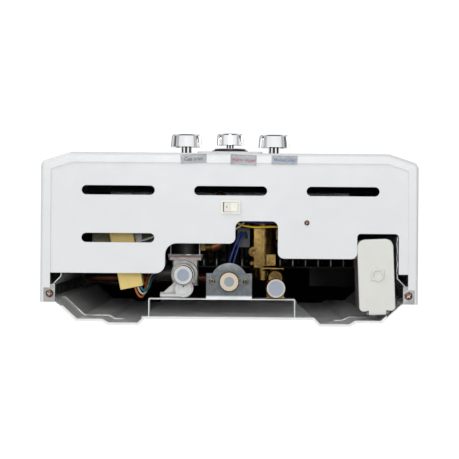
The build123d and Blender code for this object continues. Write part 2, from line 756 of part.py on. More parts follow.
with BuildPart() as side_rails:
    rail_outer = PAN_FLANGE_X - SHEET
    with BuildSketch(floor_at(2 * SHEET)):
        with BuildLine():
            FilletPolyline(
                (RAIL_INNER + SHEET, across(RAIL_FRONT_DEPTH)),
                (RAIL_INNER + SHEET, across(RAIL_SLANT_DEPTH)),
                (RAIL_INNER + SHEET + RAIL_SLANT, across(RAIL_SLANT_DEPTH + RAIL_SLANT)),
                (rail_outer, across(RAIL_SLANT_DEPTH + RAIL_SLANT)),
                (rail_outer, across(COVER_DEPTH - 2 * SHEET - SEAT_GAP)),
                radius=2 * SHEET,
            )
            offset(amount=SHEET, side=Side.LEFT)
        make_face()
    extrude(amount=RAIL_HEIGHT)
    with BuildSketch(Plane.YZ.offset(RAIL_INNER)):
        with Locations((across((RAIL_FRONT_DEPTH + RAIL_SLANT_DEPTH) / 2), level(2 * SHEET))):
            with GridLocations(RAIL_NOTCH_PITCH, 0, 3, 1):
                Rectangle(RAIL_NOTCH_PITCH / 2, 2 * RAIL_NOTCH_HEIGHT)
    extrude(amount=SHEET, mode=Mode.SUBTRACT)
    mirror(about=Plane.YZ)


# ---------------------------------------------------------------- front controls

with BuildPart() as fascia_plate:
    with BuildSketch(front_at(0)):
        with Locations((0, level(FASCIA_BOTTOM + FASCIA_HEIGHT / 2))):
            RectangleRounded(FASCIA_WIDTH, FASCIA_HEIGHT, FASCIA_CORNER)
        with Locations((0, level(KNOB_HEIGHT))):
            Circle(SHAFT_RADIUS + SHEET, mode=Mode.SUBTRACT)
    extrude(amount=FASCIA_THICKNESS)
    chamfer(fascia_plate.faces().sort_by(Axis.Y)[0].outer_wire().edges(), SHEET)
    with BuildSketch(front_at(-FASCIA_THICKNESS)):
        with Locations((0, level(WINDOW_BOTTOM + WINDOW_HEIGHT / 2))):
            RectangleRounded(WINDOW_WIDTH, WINDOW_HEIGHT, FASCIA_CORNER / 2)
    extrude(amount=-WINDOW_THICKNESS, mode=Mode.SUBTRACT)

with BuildPart() as display_window:
    with BuildSketch(front_at(-FASCIA_THICKNESS + WINDOW_THICKNESS)):
        with Locations((0, level(WINDOW_BOTTOM + WINDOW_HEIGHT / 2))):
            RectangleRounded(WINDOW_WIDTH, WINDOW_HEIGHT, FASCIA_CORNER / 2)
    extrude(amount=WINDOW_THICKNESS)

with BuildPart() as escutcheon:
    with BuildSketch(front_at(-FASCIA_THICKNESS)):
        with Locations((0, level(KNOB_HEIGHT))):
            Circle(ESCUTCHEON_RADIUS)
            Circle(SHAFT_RADIUS + SHEET, mode=Mode.SUBTRACT)
    extrude(amount=ESCUTCHEON_THICKNESS)

with BuildPart() as escutcheon_ring:
    with BuildSketch(front_at(-FASCIA_THICKNESS - ESCUTCHEON_THICKNESS)):
        with Locations((0, level(KNOB_HEIGHT))):
            Circle(COLLAR_RADIUS)
            Circle(SHAFT_RADIUS + SHEET, mode=Mode.SUBTRACT)
    extrude(amount=COLLAR_THICKNESS)
    chamfer(escutcheon_ring.faces().sort_by(Axis.Y)[0].outer_wire().edges(), COLLAR_THICKNESS / 2)

ring_front = -FASCIA_THICKNESS - ESCUTCHEON_THICKNESS - COLLAR_THICKNESS
gas_knob = knob(
    GAS_X, KNOB_RADIUS, KNOB_TOP_RADIUS, KNOB_THICKNESS, KNOB_STANDOFF, HUB_RADIUS, -SEAT_GAP
)
water_knob = knob(
    WATER_KNOB_X, KNOB_RADIUS, KNOB_TOP_RADIUS, KNOB_THICKNESS, KNOB_STANDOFF, HUB_RADIUS, -SEAT_GAP
)
season_knob = knob(
    0,
    SEASON_KNOB_RADIUS,
    SEASON_KNOB_TOP_RADIUS,
    SEASON_KNOB_THICKNESS,
    SEASON_KNOB_STANDOFF,
    SEASON_HUB_RADIUS,
    ring_front - SEAT_GAP,
)
knob_front = -(KNOB_STANDOFF + KNOB_THICKNESS) + 2 * KNOB_WALL
season_front = -(SEASON_KNOB_STANDOFF + SEASON_KNOB_THICKNESS) + 2 * KNOB_WALL
gas_shaft = shaft(GAS_X, knob_front, BONNET_FRONT + GLAND_BORE_LENGTH - SEAT_GAP)
water_shaft = shaft(WATER_KNOB_X, knob_front, GLAND_FRONT + GLAND_BORE_LENGTH - SEAT_GAP)
season_shaft = shaft(0, season_front, SHEET + GLAND_BORE_LENGTH - SEAT_GAP)

with BuildPart() as season_selector:
    with BuildSketch(front_at(SHEET)):
        with Locations((0, level(KNOB_HEIGHT))):
            Circle(SELECTOR_RADIUS)
    extrude(amount=-SELECTOR_DEPTH)
    with BuildSketch(front_at(SHEET)):
        with Locations((0, level(KNOB_HEIGHT))):
            Circle(SHAFT_RADIUS + RUNNING_GAP)
    extrude(amount=-GLAND_BORE_LENGTH, mode=Mode.SUBTRACT)


# ---------------------------------------------------------------- power switch

SWITCH_PIVOT = SHEET - BEZEL_THICKNESS + ROCKER_DEPTH / 2
switch_spot = (SWITCH_X, across(SWITCH_DEPTH))

with BuildPart() as switch_housing:
    with BuildSketch(floor_at(SHEET - BEZEL_THICKNESS)):
        with Locations(switch_spot):
            RectangleRounded(BEZEL_LENGTH, BEZEL_WIDTH, SHEET)
    extrude(amount=BEZEL_THICKNESS)
    with BuildSketch(floor_at(SHEET)):
        with Locations(switch_spot):
            Rectangle(SWITCH_BODY_LENGTH, SWITCH_BODY_WIDTH)
    extrude(amount=SWITCH_BODY_HEIGHT)
    with BuildSketch(floor_at(SHEET - BEZEL_THICKNESS)):
        with Locations(switch_spot):
            Rectangle(SWITCH_WELL_LENGTH, ROCKER_WIDTH + 2 * SEAT_GAP)
    extrude(amount=SWITCH_WELL_DEPTH, mode=Mode.SUBTRACT)
    with BuildSketch(front_at(SWITCH_DEPTH)):
        with Locations((SWITCH_X, level(SWITCH_PIVOT))):
            Circle(TRUNNION_RADIUS + RUNNING_GAP)
    extrude(amount=ROCKER_WIDTH / 2 + TRUNNION_LENGTH + SEAT_GAP, both=True, mode=Mode.SUBTRACT)
    with BuildSketch(floor_at(SHEET + SWITCH_BODY_HEIGHT)):
        with Locations(switch_spot):
            with GridLocations(TERMINAL_SPACING, 0, 2, 1):
                Rectangle(TERMINAL_THICKNESS, TERMINAL_WIDTH)
    extrude(amount=TERMINAL_LENGTH)

rocker_tilt = math.radians(ROCKER_TILT)
with BuildPart() as power_rocker:
    rocker_plane = Plane(
        origin=place(SWITCH_X, SWITCH_DEPTH, SWITCH_PIVOT),
        x_dir=(math.cos(rocker_tilt), 0, math.sin(rocker_tilt)),
        z_dir=(0, -1, 0),
    )
    with BuildSketch(rocker_plane):
        with BuildLine():
            Polyline(
                (-ROCKER_LENGTH / 2, -0.75 * ROCKER_DEPTH),
                (0, -0.55 * ROCKER_DEPTH),
                (ROCKER_LENGTH / 2, -0.75 * ROCKER_DEPTH),
                (ROCKER_LENGTH / 2, -0.25 * ROCKER_DEPTH),
                (ROCKER_LENGTH / 5, 0.25 * ROCKER_DEPTH),
                (-ROCKER_LENGTH / 5, 0.25 * ROCKER_DEPTH),
                (-ROCKER_LENGTH / 2, -0.25 * ROCKER_DEPTH),
                close=True,
            )
        make_face()
    extrude(amount=ROCKER_WIDTH / 2, both=True)
    with BuildSketch(rocker_plane):
        Circle(TRUNNION_RADIUS)
    extrude(amount=ROCKER_WIDTH / 2 + TRUNNION_LENGTH, both=True)


# ---------------------------------------------------------------- battery compartment

battery_skew = math.radians(BATTERY_SKEW)
battery_plane = Plane(
    origin=place(BATTERY_X, BATTERY_DEPTH, 0),
    x_dir=(math.cos(battery_skew), -math.sin(battery_skew), 0),
    z_dir=(0, 0, 1),
)
BOX_WIDTH = DOOR_WIDTH - 2 * DOOR_OVERLAP
BOX_LENGTH = DOOR_LENGTH - 2 * DOOR_OVERLAP
BOX_BOTTOM = DOOR_THICKNESS + SEAT_GAP
HINGE_Y = DOOR_LENGTH / 2 + HINGE_OFFSET
HINGE_LEVEL = DOOR_THICKNESS
EAR_INNER = HINGE_WIDTH / 2 + SEAT_GAP
EAR_OUTER = EAR_INNER + HINGE_EAR
EAR_RADIUS = HINGE_RADIUS - SHEET / 4
# The hinge runs along the compartment's own cross direction
hinge_plane = Plane(
    origin=battery_plane.from_local_coords((0, HINGE_Y, HINGE_LEVEL)),
    x_dir=battery_plane.y_dir,
    z_dir=battery_plane.x_dir,
)

with BuildPart() as battery_box:
    with BuildSketch(battery_plane.offset(BOX_BOTTOM)):
        RectangleRounded(BOX_WIDTH, BOX_LENGTH, DOOR_REAR_RADIUS - DOOR_OVERLAP)
    extrude(amount=BATTERY_BOX_HEIGHT)
    with BuildSketch(floor_at(BOX_BOTTOM + BATTERY_BOX_HEIGHT - 2 * BATTERY_LUG)):
        with Locations((BATTERY_X + BOX_WIDTH / 2, across(BATTERY_DEPTH - BATTERY_LUG))):
            Rectangle(
                RAIL_INNER - BATTERY_X - BOX_WIDTH / 2,
                BATTERY_LUG,
                align=(Align.MIN, Align.CENTER),
            )
        with Locations((BATTERY_X + BOX_WIDTH / 2, across(BATTERY_DEPTH - BATTERY_LUG))):
            Rectangle(BATTERY_WALL, BATTERY_LUG, align=(Align.MAX, Align.CENTER))
    extrude(amount=BATTERY_LUG)
    with BuildSketch(battery_plane.offset(BOX_BOTTOM)):
        RectangleRounded(BOX_WIDTH - 2 * BATTERY_WALL, BOX_LENGTH - 2 * BATTERY_WALL, SHEET)
    extrude(amount=BATTERY_BOX_HEIGHT - BATTERY_WALL, mode=Mode.SUBTRACT)
    # Two ears carry the door's pins
    for ear_start in (-EAR_OUTER, EAR_INNER):
        with BuildSketch(hinge_plane.offset(ear_start)):
            Circle(EAR_RADIUS)
            with Locations((0, SEAT_GAP)):
                Rectangle(
                    HINGE_Y - BOX_LENGTH / 2 + BATTERY_WALL / 2,
                    2 * EAR_RADIUS,
                    align=(Align.MAX, Align.MIN),
                )
        extrude(amount=HINGE_EAR)
    with BuildSketch(hinge_plane.offset(-EAR_OUTER)):
        Circle(HINGE_PIN_RADIUS + RUNNING_GAP)
    extrude(amount=2 * EAR_OUTER, mode=Mode.SUBTRACT)

with BuildPart() as battery_contacts:
    ceiling = BOX_BOTTOM + BATTERY_BOX_HEIGHT - BATTERY_WALL
    with BuildSketch(battery_plane.offset(ceiling)):
        with GridLocations(0, BOX_LENGTH / 2, 1, 2):
            Circle(CONTACT_RADIUS)
    extrude(amount=-CONTACT_THICKNESS)
    with BuildSketch(battery_plane.offset(ceiling - CONTACT_THICKNESS)):
        with GridLocations(0, BOX_LENGTH / 2, 1, 2):
            Circle(CONTACT_RADIUS / 2)
    extrude(amount=-2 * CONTACT_THICKNESS, taper=20)

with BuildPart() as battery_door:
    with BuildSketch(battery_plane):
        with BuildLine():
            FilletPolyline(
                (-DOOR_WIDTH / 2, -DOOR_LENGTH / 2),
                (DOOR_WIDTH / 2, -DOOR_LENGTH / 2),
                (DOOR_WIDTH / 2, DOOR_LENGTH / 2),
                (-DOOR_WIDTH / 2, DOOR_LENGTH / 2),
                radius=(DOOR_FRONT_RADIUS, DOOR_FRONT_RADIUS, DOOR_REAR_RADIUS, DOOR_REAR_RADIUS),
                close=True,
            )
        make_face()
        with Locations((0, DOOR_LENGTH / 2)):
            with GridLocations(EAR_INNER + EAR_OUTER, 0, 2, 1):
                Rectangle(
                    HINGE_EAR + 2 * SEAT_GAP,
                    2 * (EAR_RADIUS + SEAT_GAP - HINGE_OFFSET),
                    mode=Mode.SUBTRACT,
                )
    extrude(amount=DOOR_THICKNESS)
    chamfer(battery_door.faces().sort_by(Axis.Z)[0].edges(), DOOR_THICKNESS / 4)
    # Knuckle, pins, snap lip and finger ring
    with BuildSketch(hinge_plane.offset(-HINGE_WIDTH / 2)):
        Circle(HINGE_RADIUS)
        Rectangle(HINGE_OFFSET + SHEET, DOOR_THICKNESS, align=(Align.MAX, Align.MAX))
    extrude(amount=HINGE_WIDTH)
    with BuildSketch(hinge_plane.offset(-EAR_INNER - HINGE_PIN_REACH)):
        Circle(HINGE_PIN_RADIUS)
    extrude(amount=2 * (EAR_INNER + HINGE_PIN_REACH))
    with BuildSketch(battery_plane.offset(DOOR_THICKNESS)):
        with Locations((0, -BOX_LENGTH / 2 + BATTERY_WALL + SEAT_GAP)):
            Rectangle(SNAP_WIDTH, BATTERY_WALL, align=(Align.CENTER, Align.MIN))
    extrude(amount=SNAP_HEIGHT)
    with BuildSketch(battery_plane):
        with Locations((DOOR_RING_OFFSET, 0)):
            Circle(DOOR_RING_RADIUS)
            Circle(DOOR_RING_RADIUS - DOOR_RING_WIDTH, mode=Mode.SUBTRACT)
    extrude(amount=-DOOR_RING_HEIGHT)


# ---------------------------------------------------------------- connections

outlet_spot = (0, across(OUTLET_DEPTH))
plate_screw_points = [(side * PLATE_SCREW_SPACING / 2, across(OUTLET_DEPTH)) for side in (-1, 1)]
HAT_FRONT = HAT_DEPTH - SHEET
PLATE_TOP = PLATE_LEVEL + PLATE_THICKNESS

with BuildPart() as connector_bracket:
    with BuildSketch(floor_at(PLATE_LEVEL)):
        with BuildLine():
            Polyline(
                (HAT_LEFT - HAT_FOOT, across(PAN_MIDDLE_DEPTH - SHEET)),
                (HAT_LEFT, across(PAN_MIDDLE_DEPTH - SHEET)),
                (HAT_LEFT, across(HAT_DEPTH)),
                (HAT_RIGHT, across(HAT_DEPTH)),
                (HAT_RIGHT, across(PAN_MIDDLE_DEPTH - SHEET)),
                (HAT_RIGHT + HAT_FOOT, across(PAN_MIDDLE_DEPTH - SHEET)),
            )
            offset(amount=SHEET, side=Side.RIGHT)
        make_face()
    extrude(amount=HAT_HEIGHT)
    # The plate round the hot outlet, bent forward, with an arched front edge
    with BuildSketch(floor_at(PLATE_LEVEL)):
        with Locations((0, across(HAT_DEPTH))):
            Rectangle(
                PLATE_WIDTH,
                HAT_DEPTH - PLATE_SHOULDER_DEPTH,
                align=(Align.CENTER, Align.MAX),
            )
        with Locations(outlet_spot):
            Circle(PLATE_ARCH_RADIUS)
            Circle(OUTLET_SHOULDER_RADIUS + PLUG_GAP, mode=Mode.SUBTRACT)
        with Locations(*plate_screw_points):
            Circle(PLATE_SHANK_RADIUS, mode=Mode.SUBTRACT)
    extrude(amount=PLATE_THICKNESS)
    with BuildSketch(floor_at(PLATE_TOP)):
        for side in (-1, 1):
            with Locations((side * (PLATE_WIDTH - SHEET) / 2, across(HAT_DEPTH))):
                Rectangle(
                    SHEET,
                    HAT_DEPTH - PLATE_SHOULDER_DEPTH,
                    align=(Align.CENTER, Align.MAX),
                )
    extrude(amount=2 * PLATE_THICKNESS)

with BuildPart() as outlet_fitting:
    with BuildSketch(floor_at(CONNECTOR_TIP)):
        with Locations(outlet_spot):
            Circle(THREAD_RADIUS)
    extrude(amount=PLATE_LEVEL - CONNECTOR_TIP)
    chamfer(outlet_fitting.edges().group_by(Axis.Z)[0], SHEET / 2)
    with BuildSketch(floor_at(PLATE_LEVEL)):
        with Locations(outlet_spot):
            Circle(OUTLET_SHOULDER_RADIUS)
    extrude(amount=PLATE_THICKNESS)
    with BuildSketch(floor_at(PLATE_TOP)):
        with Locations(outlet_spot):
            Circle(OUTLET_FLANGE_RADIUS)
        with Locations(*plate_screw_points):
            Circle(PLATE_HEAD_RADIUS + SHEET)
        make_hull()
        with Locations(*plate_screw_points):
            Circle(PLATE_SHANK_RADIUS, mode=Mode.SUBTRACT)
    extrude(amount=OUTLET_FLANGE_THICKNESS)
    with BuildSketch(floor_at(PLATE_TOP + OUTLET_FLANGE_THICKNESS)):
        with Locations(outlet_spot):
            Circle(CONNECTOR_BORE + CONNECTOR_WALL)
    extrude(amount=OUTLET_NECK_LENGTH)
    with BuildSketch(floor_at(CONNECTOR_TIP)):
        with Locations(outlet_spot):
            Circle(WATER_PIPE_RADIUS)
    extrude(amount=CASE_HEIGHT / 4, mode=Mode.SUBTRACT)
    with BuildSketch(floor_at(CONNECTOR_TIP)):
        with Locations(outlet_spot):
            Circle(CONNECTOR_BORE)
    extrude(amount=PLATE_TOP - CONNECTOR_TIP, mode=Mode.SUBTRACT)

plate_screws = screws(
    plate_screw_points,
    PLATE_LEVEL,
    PLATE_HEAD_RADIUS,
    PLATE_HEAD_HEIGHT,
    PLATE_SHANK_RADIUS,
    PLATE_THICKNESS + OUTLET_FLANGE_THICKNESS + SHEET,
)
gas_inlet_fitting = threaded_end(GAS_X, GAS_DEPTH, FITTING_NECK_TOP)
water_inlet_fitting = threaded_end(INLET_X, INLET_DEPTH, FITTING_NECK_TOP)
gas_plug = dust_plug(GAS_X, GAS_DEPTH, GAS_PLUG_RECESS)
outlet_plug = dust_plug(0, OUTLET_DEPTH, OUTLET_PLUG_RECESS)
inlet_plug = dust_plug(INLET_X, INLET_DEPTH, INLET_PLUG_RECESS)


# ---------------------------------------------------------------- gas valve

YOKE_REAR = BONNET_REAR + YOKE_SHEET
GASKET_REAR = YOKE_REAR + GASKET_THICKNESS
VALVE_PLATE_REAR = GASKET_REAR + VALVE_PLATE_THICKNESS
CASTING_BOTTOM = CONNECTOR_TIP + CONNECTOR_LENGTH
gas_spot = (GAS_X, across(GAS_DEPTH))
valve_face = (GAS_X, level(KNOB_HEIGHT))

with BuildPart() as gas_bonnet:
    with BuildSketch(front_at(BONNET_FRONT)):
        with Locations(valve_face):
            Circle(BONNET_RADIUS / 2)
    extrude(amount=BONNET_FRONT - BONNET_REAR)
    with BuildSketch(front_at(BONNET_FRONT + BONNET_GLAND)):
        with Locations(valve_face):
            Circle(BONNET_RADIUS)
    extrude(amount=BONNET_FRONT + BONNET_GLAND - BONNET_REAR)
    with BuildSketch(Plane.YZ.offset(GAS_X)):
        with Locations((across(GAS_PIPE_DEPTH), level(GAS_PIPE_LEVEL))):
            Circle(GAS_PIPE_RADIUS + 2 * SHEET)
    extrude(amount=GAS_PIPE_START)
    with BuildSketch(front_at(BONNET_FRONT)):
        with Locations(valve_face):
            Circle(SHAFT_RADIUS + RUNNING_GAP)
    extrude(amount=-GLAND_BORE_LENGTH, mode=Mode.SUBTRACT)

with BuildPart() as valve_yoke:
    with BuildSketch(front_at(BONNET_REAR)):
        with Locations(valve_face):
            RectangleRounded(YOKE_WIDTH, YOKE_HEIGHT, 2 * SHEET)
    extrude(amount=-YOKE_SHEET)
    with BuildSketch(front_at(BONNET_REAR)):
        with Locations((GAS_X, level(YOKE_ARM_LEVEL))):
            with GridLocations(2 * (BONNET_RADIUS + SEAT_GAP) + YOKE_SHEET, 0, 2, 1):
                Rectangle(YOKE_SHEET, YOKE_ARM_HEIGHT)
    extrude(amount=YOKE_ARM)

with BuildPart() as valve_gasket:
    with BuildSketch(front_at(YOKE_REAR)):
        with Locations(valve_face):
            RectangleRounded(YOKE_WIDTH - SHEET, YOKE_HEIGHT - SHEET, 2 * SHEET)
    extrude(amount=-GASKET_THICKNESS)

with BuildPart() as valve_plate:
    with BuildSketch(front_at(GASKET_REAR)):
        with Locations(valve_face):
            RectangleRounded(YOKE_WIDTH - 2 * SHEET, YOKE_HEIGHT - 2 * SHEET, 2 * SHEET)
    extrude(amount=-VALVE_PLATE_THICKNESS)

with BuildPart() as gas_valve_body:
    with BuildSketch(front_at(VALVE_PLATE_REAR)):
        with Locations(valve_face):
            RectangleRounded(VALVE_BODY_WIDTH, YOKE_HEIGHT - 4 * SHEET, 2 * SHEET)
    extrude(amount=VALVE_PLATE_REAR - VALVE_BODY_REAR)
    with BuildSketch(floor_at(VALVE_NECK_TOP)):
        with Locations(gas_spot):
            Circle(VALVE_BODY_WIDTH / 2)
    extrude(amount=KNOB_HEIGHT - VALVE_NECK_TOP)
    with BuildSketch(floor_at(CASTING_BOTTOM)):
        with Locations(gas_spot):
            Circle(VALVE_NECK_RADIUS)
    extrude(amount=VALVE_NECK_TOP - CASTING_BOTTOM)
    with BuildSketch(floor_at(VALVE_BOSS_LEVEL)):
        with Locations((GAS_X + SHEET, across(VALVE_BOSS_DEPTH))):
            Circle(VALVE_BOSS_RADIUS)
    extrude(amount=VALVE_NECK_TOP - VALVE_BOSS_LEVEL)
    with BuildSketch(floor_at(VALVE_FOOT_LEVEL)):
        with Locations((VALVE_FOOT_LEFT, across(HAT_FRONT))):
            Rectangle(
                GAS_X - VALVE_FOOT_LEFT,
                HAT_FRONT - VALVE_FOOT_DEPTH,
                align=(Align.MIN, Align.MAX),
            )
    extrude(amount=VALVE_FOOT_HEIGHT)
    with BuildSketch(floor_at(GUSSET_LEVEL)):
        with BuildLine():
            Polyline(
                (VALVE_FOOT_LEFT + 2 * SHEET, across(VALVE_FOOT_DEPTH + SHEET)),
                (GAS_X, across(VALVE_FOOT_DEPTH + SHEET)),
                (GAS_X, across(GUSSET_DEPTH)),
                (GAS_X - VALVE_NECK_RADIUS / 2, across(GUSSET_DEPTH)),
                close=True,
            )
        make_face()
    extrude(amount=2 * SHEET)
    with BuildSketch(floor_at(CASTING_BOTTOM)):
        with Locations(gas_spot):
            Circle(CONNECTOR_BORE + CONNECTOR_WALL)
    extrude(amount=FITTING_NECK_TOP - CASTING_BOTTOM, mode=Mode.SUBTRACT)

with BuildPart() as gas_solenoid:
    with BuildSketch(Plane.YZ.offset(GAS_X - VALVE_BODY_WIDTH / 2)):
        with Locations((across(GAS_DEPTH), level(SOLENOID_LEVEL))):
            Circle(SOLENOID_RADIUS)
    extrude(amount=-SOLENOID_LENGTH)
    chamfer(gas_solenoid.edges().group_by(Axis.X)[0], SHEET)

gas_pipe = bent_tube(
    [
        place(GAS_X + GAS_PIPE_START, GAS_PIPE_DEPTH, GAS_PIPE_LEVEL),
        place(GAS_PIPE_X, GAS_PIPE_DEPTH, GAS_PIPE_LEVEL),
        place(GAS_PIPE_X, GAS_RAIL_DEPTH, GAS_PIPE_LEVEL),
        place(GAS_PIPE_X, GAS_RAIL_DEPTH, NOZZLE_LEVEL - RAIL_TUBE / 2),
    ],
    GAS_PIPE_RADIUS,
    GAS_PIPE_BEND,
    WATER_PIPE_WALL,
)

with BuildPart() as gas_union_nut:
    with BuildSketch(Plane.YZ.offset(GAS_X + GAS_PIPE_START)):
        with Locations((across(GAS_PIPE_DEPTH), level(GAS_PIPE_LEVEL))):
            RegularPolygon(GAS_PIPE_RADIUS + 3 * SHEET, 6)
            Circle(GAS_PIPE_RADIUS, mode=Mode.SUBTRACT)
    extrude(amount=UNION_NUT_LENGTH)
    # A ribbed ferrule behind the nut
    for index in range(FERRULE_RINGS):
        ring_start = GAS_X + GAS_PIPE_START + UNION_NUT_LENGTH + index * FERRULE_PITCH
        for start, width, radius in (
            (0, FERRULE_PITCH / 2, GAS_PIPE_RADIUS + SHEET / 2),
            (FERRULE_PITCH / 2, FERRULE_PITCH / 2, GAS_PIPE_RADIUS + 1.5 * SHEET),
        ):
            with BuildSketch(Plane.YZ.offset(ring_start + start)):
                with Locations((across(GAS_PIPE_DEPTH), level(GAS_PIPE_LEVEL))):
                    Circle(radius)
                    Circle(GAS_PIPE_RADIUS, mode=Mode.SUBTRACT)
            extrude(amount=width)


# ---------------------------------------------------------------- water valve

barrel_face = (BARREL_X, level(BARREL_LEVEL))
inlet_spot = (INLET_X, across(INLET_DEPTH))
riser_spot = (BARREL_X, across(RISER_DEPTH))
BARREL_BOTTOM = BARREL_LEVEL - BARREL_RADIUS

with BuildPart() as water_valve_body:
    with BuildSketch(front_at(BARREL_FRONT)):
        with Locations(barrel_face):
            Circle(BARREL_RADIUS)
    extrude(amount=BARREL_FRONT - BARREL_REAR)
    # The gland for the knob's shaft, on its pillar
    with BuildSketch(front_at(GLAND_FRONT)):
        with Locations((WATER_KNOB_X, level(KNOB_HEIGHT))):
            Circle(GLAND_RADIUS)
    extrude(amount=GLAND_FRONT - GLAND_REAR)
    with BuildSketch(floor_at(BARREL_LEVEL)):
        with Locations((WATER_KNOB_X, across(GLAND_REAR))):
            Rectangle(
                2 * GLAND_RADIUS,
                GLAND_REAR - BARREL_FRONT - SHEET,
                align=(Align.CENTER, Align.MAX),
            )
    extrude(amount=KNOB_HEIGHT - BARREL_LEVEL)
    # Cast rib, port, balance tube and inlet along the underside
    with BuildSketch(floor_at(BARREL_BOTTOM - BARREL_RIB_DROP)):
        with Locations((BARREL_RIB_LEFT, across(BARREL_RIB_REAR))):
            Rectangle(
                BARREL_RIB_RIGHT - BARREL_RIB_LEFT,
                BARREL_RIB_REAR - BARREL_FRONT - BARREL_RIB_DROP,
                align=(Align.MIN, Align.MAX),
            )
    extrude(amount=BARREL_RADIUS)
    with BuildSketch(floor_at(PORT_LEVEL)):
        with Locations((PORT_X, across(PORT_DEPTH))):
            Circle(PORT_RADIUS)
    extrude(amount=BARREL_LEVEL - PORT_LEVEL)
    with BuildSketch(floor_at(PAD_LEVEL)):
        with Locations((PAD_LEFT, across(PAD_REAR))):
            Rectangle(
                PAD_RIGHT - PAD_LEFT,
                PAD_REAR - PAD_FRONT,
                align=(Align.MIN, Align.MAX),
            )
    extrude(amount=BARREL_LEVEL - PAD_LEVEL)
    with BuildSketch(floor_at(STUD_LEVEL)):
        with Locations((STUD_X, across(STUD_DEPTH))):
            RegularPolygon(STUD_RADIUS, 6)
    extrude(amount=BARREL_LEVEL - STUD_LEVEL)
    with BuildSketch(floor_at(TEST_SCREW_LEVEL)):
        with Locations((TEST_SCREW_X, across(TEST_SCREW_DEPTH))):
            Circle(TEST_SCREW_RADIUS)
    extrude(amount=BARREL_LEVEL - TEST_SCREW_LEVEL)
    with BuildSketch(Plane.YZ.offset(BARREL_X)):
        with Locations((across(BALANCE_TUBE_DEPTH), level(BARREL_BOTTOM))):
            Circle(BALANCE_TUBE_RADIUS)
    extrude(amount=INLET_X + VALVE_BOSS_RADIUS - BARREL_X)
    with BuildSketch(floor_at(INLET_COLLAR_LEVEL)):
        with Locations((INLET_X, across(INLET_COLLAR_DEPTH))):
            Circle(INLET_COLLAR_RADIUS)
    extrude(amount=BARREL_LEVEL - INLET_COLLAR_LEVEL)
    chamfer(water_valve_body.edges().group_by(Axis.Z)[0], 2 * SHEET)
    with BuildSketch(floor_at(CASTING_BOTTOM)):
        with Locations(inlet_spot):
            Circle(CONNECTOR_BORE + 2 * CONNECTOR_WALL)
    extrude(amount=BARREL_LEVEL - CASTING_BOTTOM)
    with BuildSketch(floor_at(VALVE_FOOT_LEVEL)):
        with Locations((INLET_X, across(HAT_FRONT))):
            Rectangle(
                2 * INLET_COLLAR_RADIUS,
                HAT_FRONT - INLET_DEPTH,
                align=(Align.CENTER, Align.MAX),
            )
    extrude(amount=VALVE_FOOT_HEIGHT)
    # The riser to the cold pipe
    with BuildSketch(floor_at(BARREL_LEVEL)):
        with Locations(riser_spot):
            Circle(RISER_RADIUS)
    extrude(amount=RISER_TOP - BARREL_LEVEL)
    with BuildSketch(floor_at(RISER_TOP)):
        with Locations(riser_spot):
            Circle(WATER_PIPE_RADIUS)
    extrude(amount=-PIPE_SOCKET, mode=Mode.SUBTRACT)
    with BuildSketch(floor_at(CASTING_BOTTOM)):
        with Locations(inlet_spot):
            Circle(CONNECTOR_BORE + CONNECTOR_WALL)
    extrude(amount=FITTING_NECK_TOP - CASTING_BOTTOM, mode=Mode.SUBTRACT)
    with BuildSketch(floor_at(PORT_LEVEL)):
        with Locations((PORT_X, across(PORT_DEPTH))):
            Circle(PORT_BORE)
    extrude(amount=3 * PORT_RADIUS, mode=Mode.SUBTRACT)
    with BuildSketch(front_at(GLAND_FRONT)):
        with Locations((WATER_KNOB_X, level(KNOB_HEIGHT))):
            Circle(SHAFT_RADIUS + RUNNING_GAP)
    extrude(amount=-GLAND_BORE_LENGTH, mode=Mode.SUBTRACT)

with BuildPart() as flow_microswitch:
    microswitch_x = BARREL_X - BARREL_RADIUS - SEAT_GAP - MICROSWITCH_WIDTH / 2
    with BuildSketch(floor_at(BARREL_LEVEL - MICROSWITCH_HEIGHT / 2)):
        with Locations((microswitch_x, across(MICROSWITCH_DEPTH))):
            RectangleRounded(MICROSWITCH_WIDTH, MICROSWITCH_LENGTH, SHEET)
    extrude(amount=MICROSWITCH_HEIGHT)
    with BuildSketch(floor_at(BARREL_LEVEL - MICROSWITCH_HEIGHT / 2)):
        with Locations((microswitch_x, across(MICROSWITCH_DEPTH))):
            with GridLocations(MICROSWITCH_WIDTH / 2, 0, 2, 1):
                Rectangle(TERMINAL_THICKNESS, TERMINAL_WIDTH)
    extrude(amount=-TERMINAL_LENGTH)


# ---------------------------------------------------------------- water pipes

cold_pipe = bent_tube(
    [
        place(BARREL_X, RISER_DEPTH, RISER_TOP - PIPE_SOCKET),
        place(BARREL_X, RISER_DEPTH, COLD_RUN_LEVEL),
        place(PIPE_RUN_X, RISER_DEPTH, COLD_RUN_LEVEL),
        place(PIPE_RUN_X, RISER_DEPTH, EXCHANGER_MIDDLE),
        place(CHAMBER_HALF_WIDTH, RISER_DEPTH, EXCHANGER_MIDDLE),
    ],
    WATER_PIPE_RADIUS,
    PIPE_BEND,
    WATER_PIPE_WALL,
)
hot_pipe = bent_tube(
    [
        place(0, OUTLET_DEPTH, PLATE_TOP),
        place(0, OUTLET_DEPTH, HOT_RUN_LEVEL),
        place(-PIPE_RUN_X, OUTLET_DEPTH, HOT_RUN_LEVEL),
        place(-PIPE_RUN_X, OUTLET_DEPTH, EXCHANGER_MIDDLE),
        place(-PIPE_RUN_X, RISER_DEPTH, EXCHANGER_MIDDLE),
        place(-CHAMBER_HALF_WIDTH, RISER_DEPTH, EXCHANGER_MIDDLE),
    ],
    WATER_PIPE_RADIUS,
    PIPE_BEND,
    WATER_PIPE_WALL,
)


# ---------------------------------------------------------------- burner

blade_places = [BLADE_PITCH * (index - (BLADE_COUNT - 1) / 2) for index in range(BLADE_COUNT)]

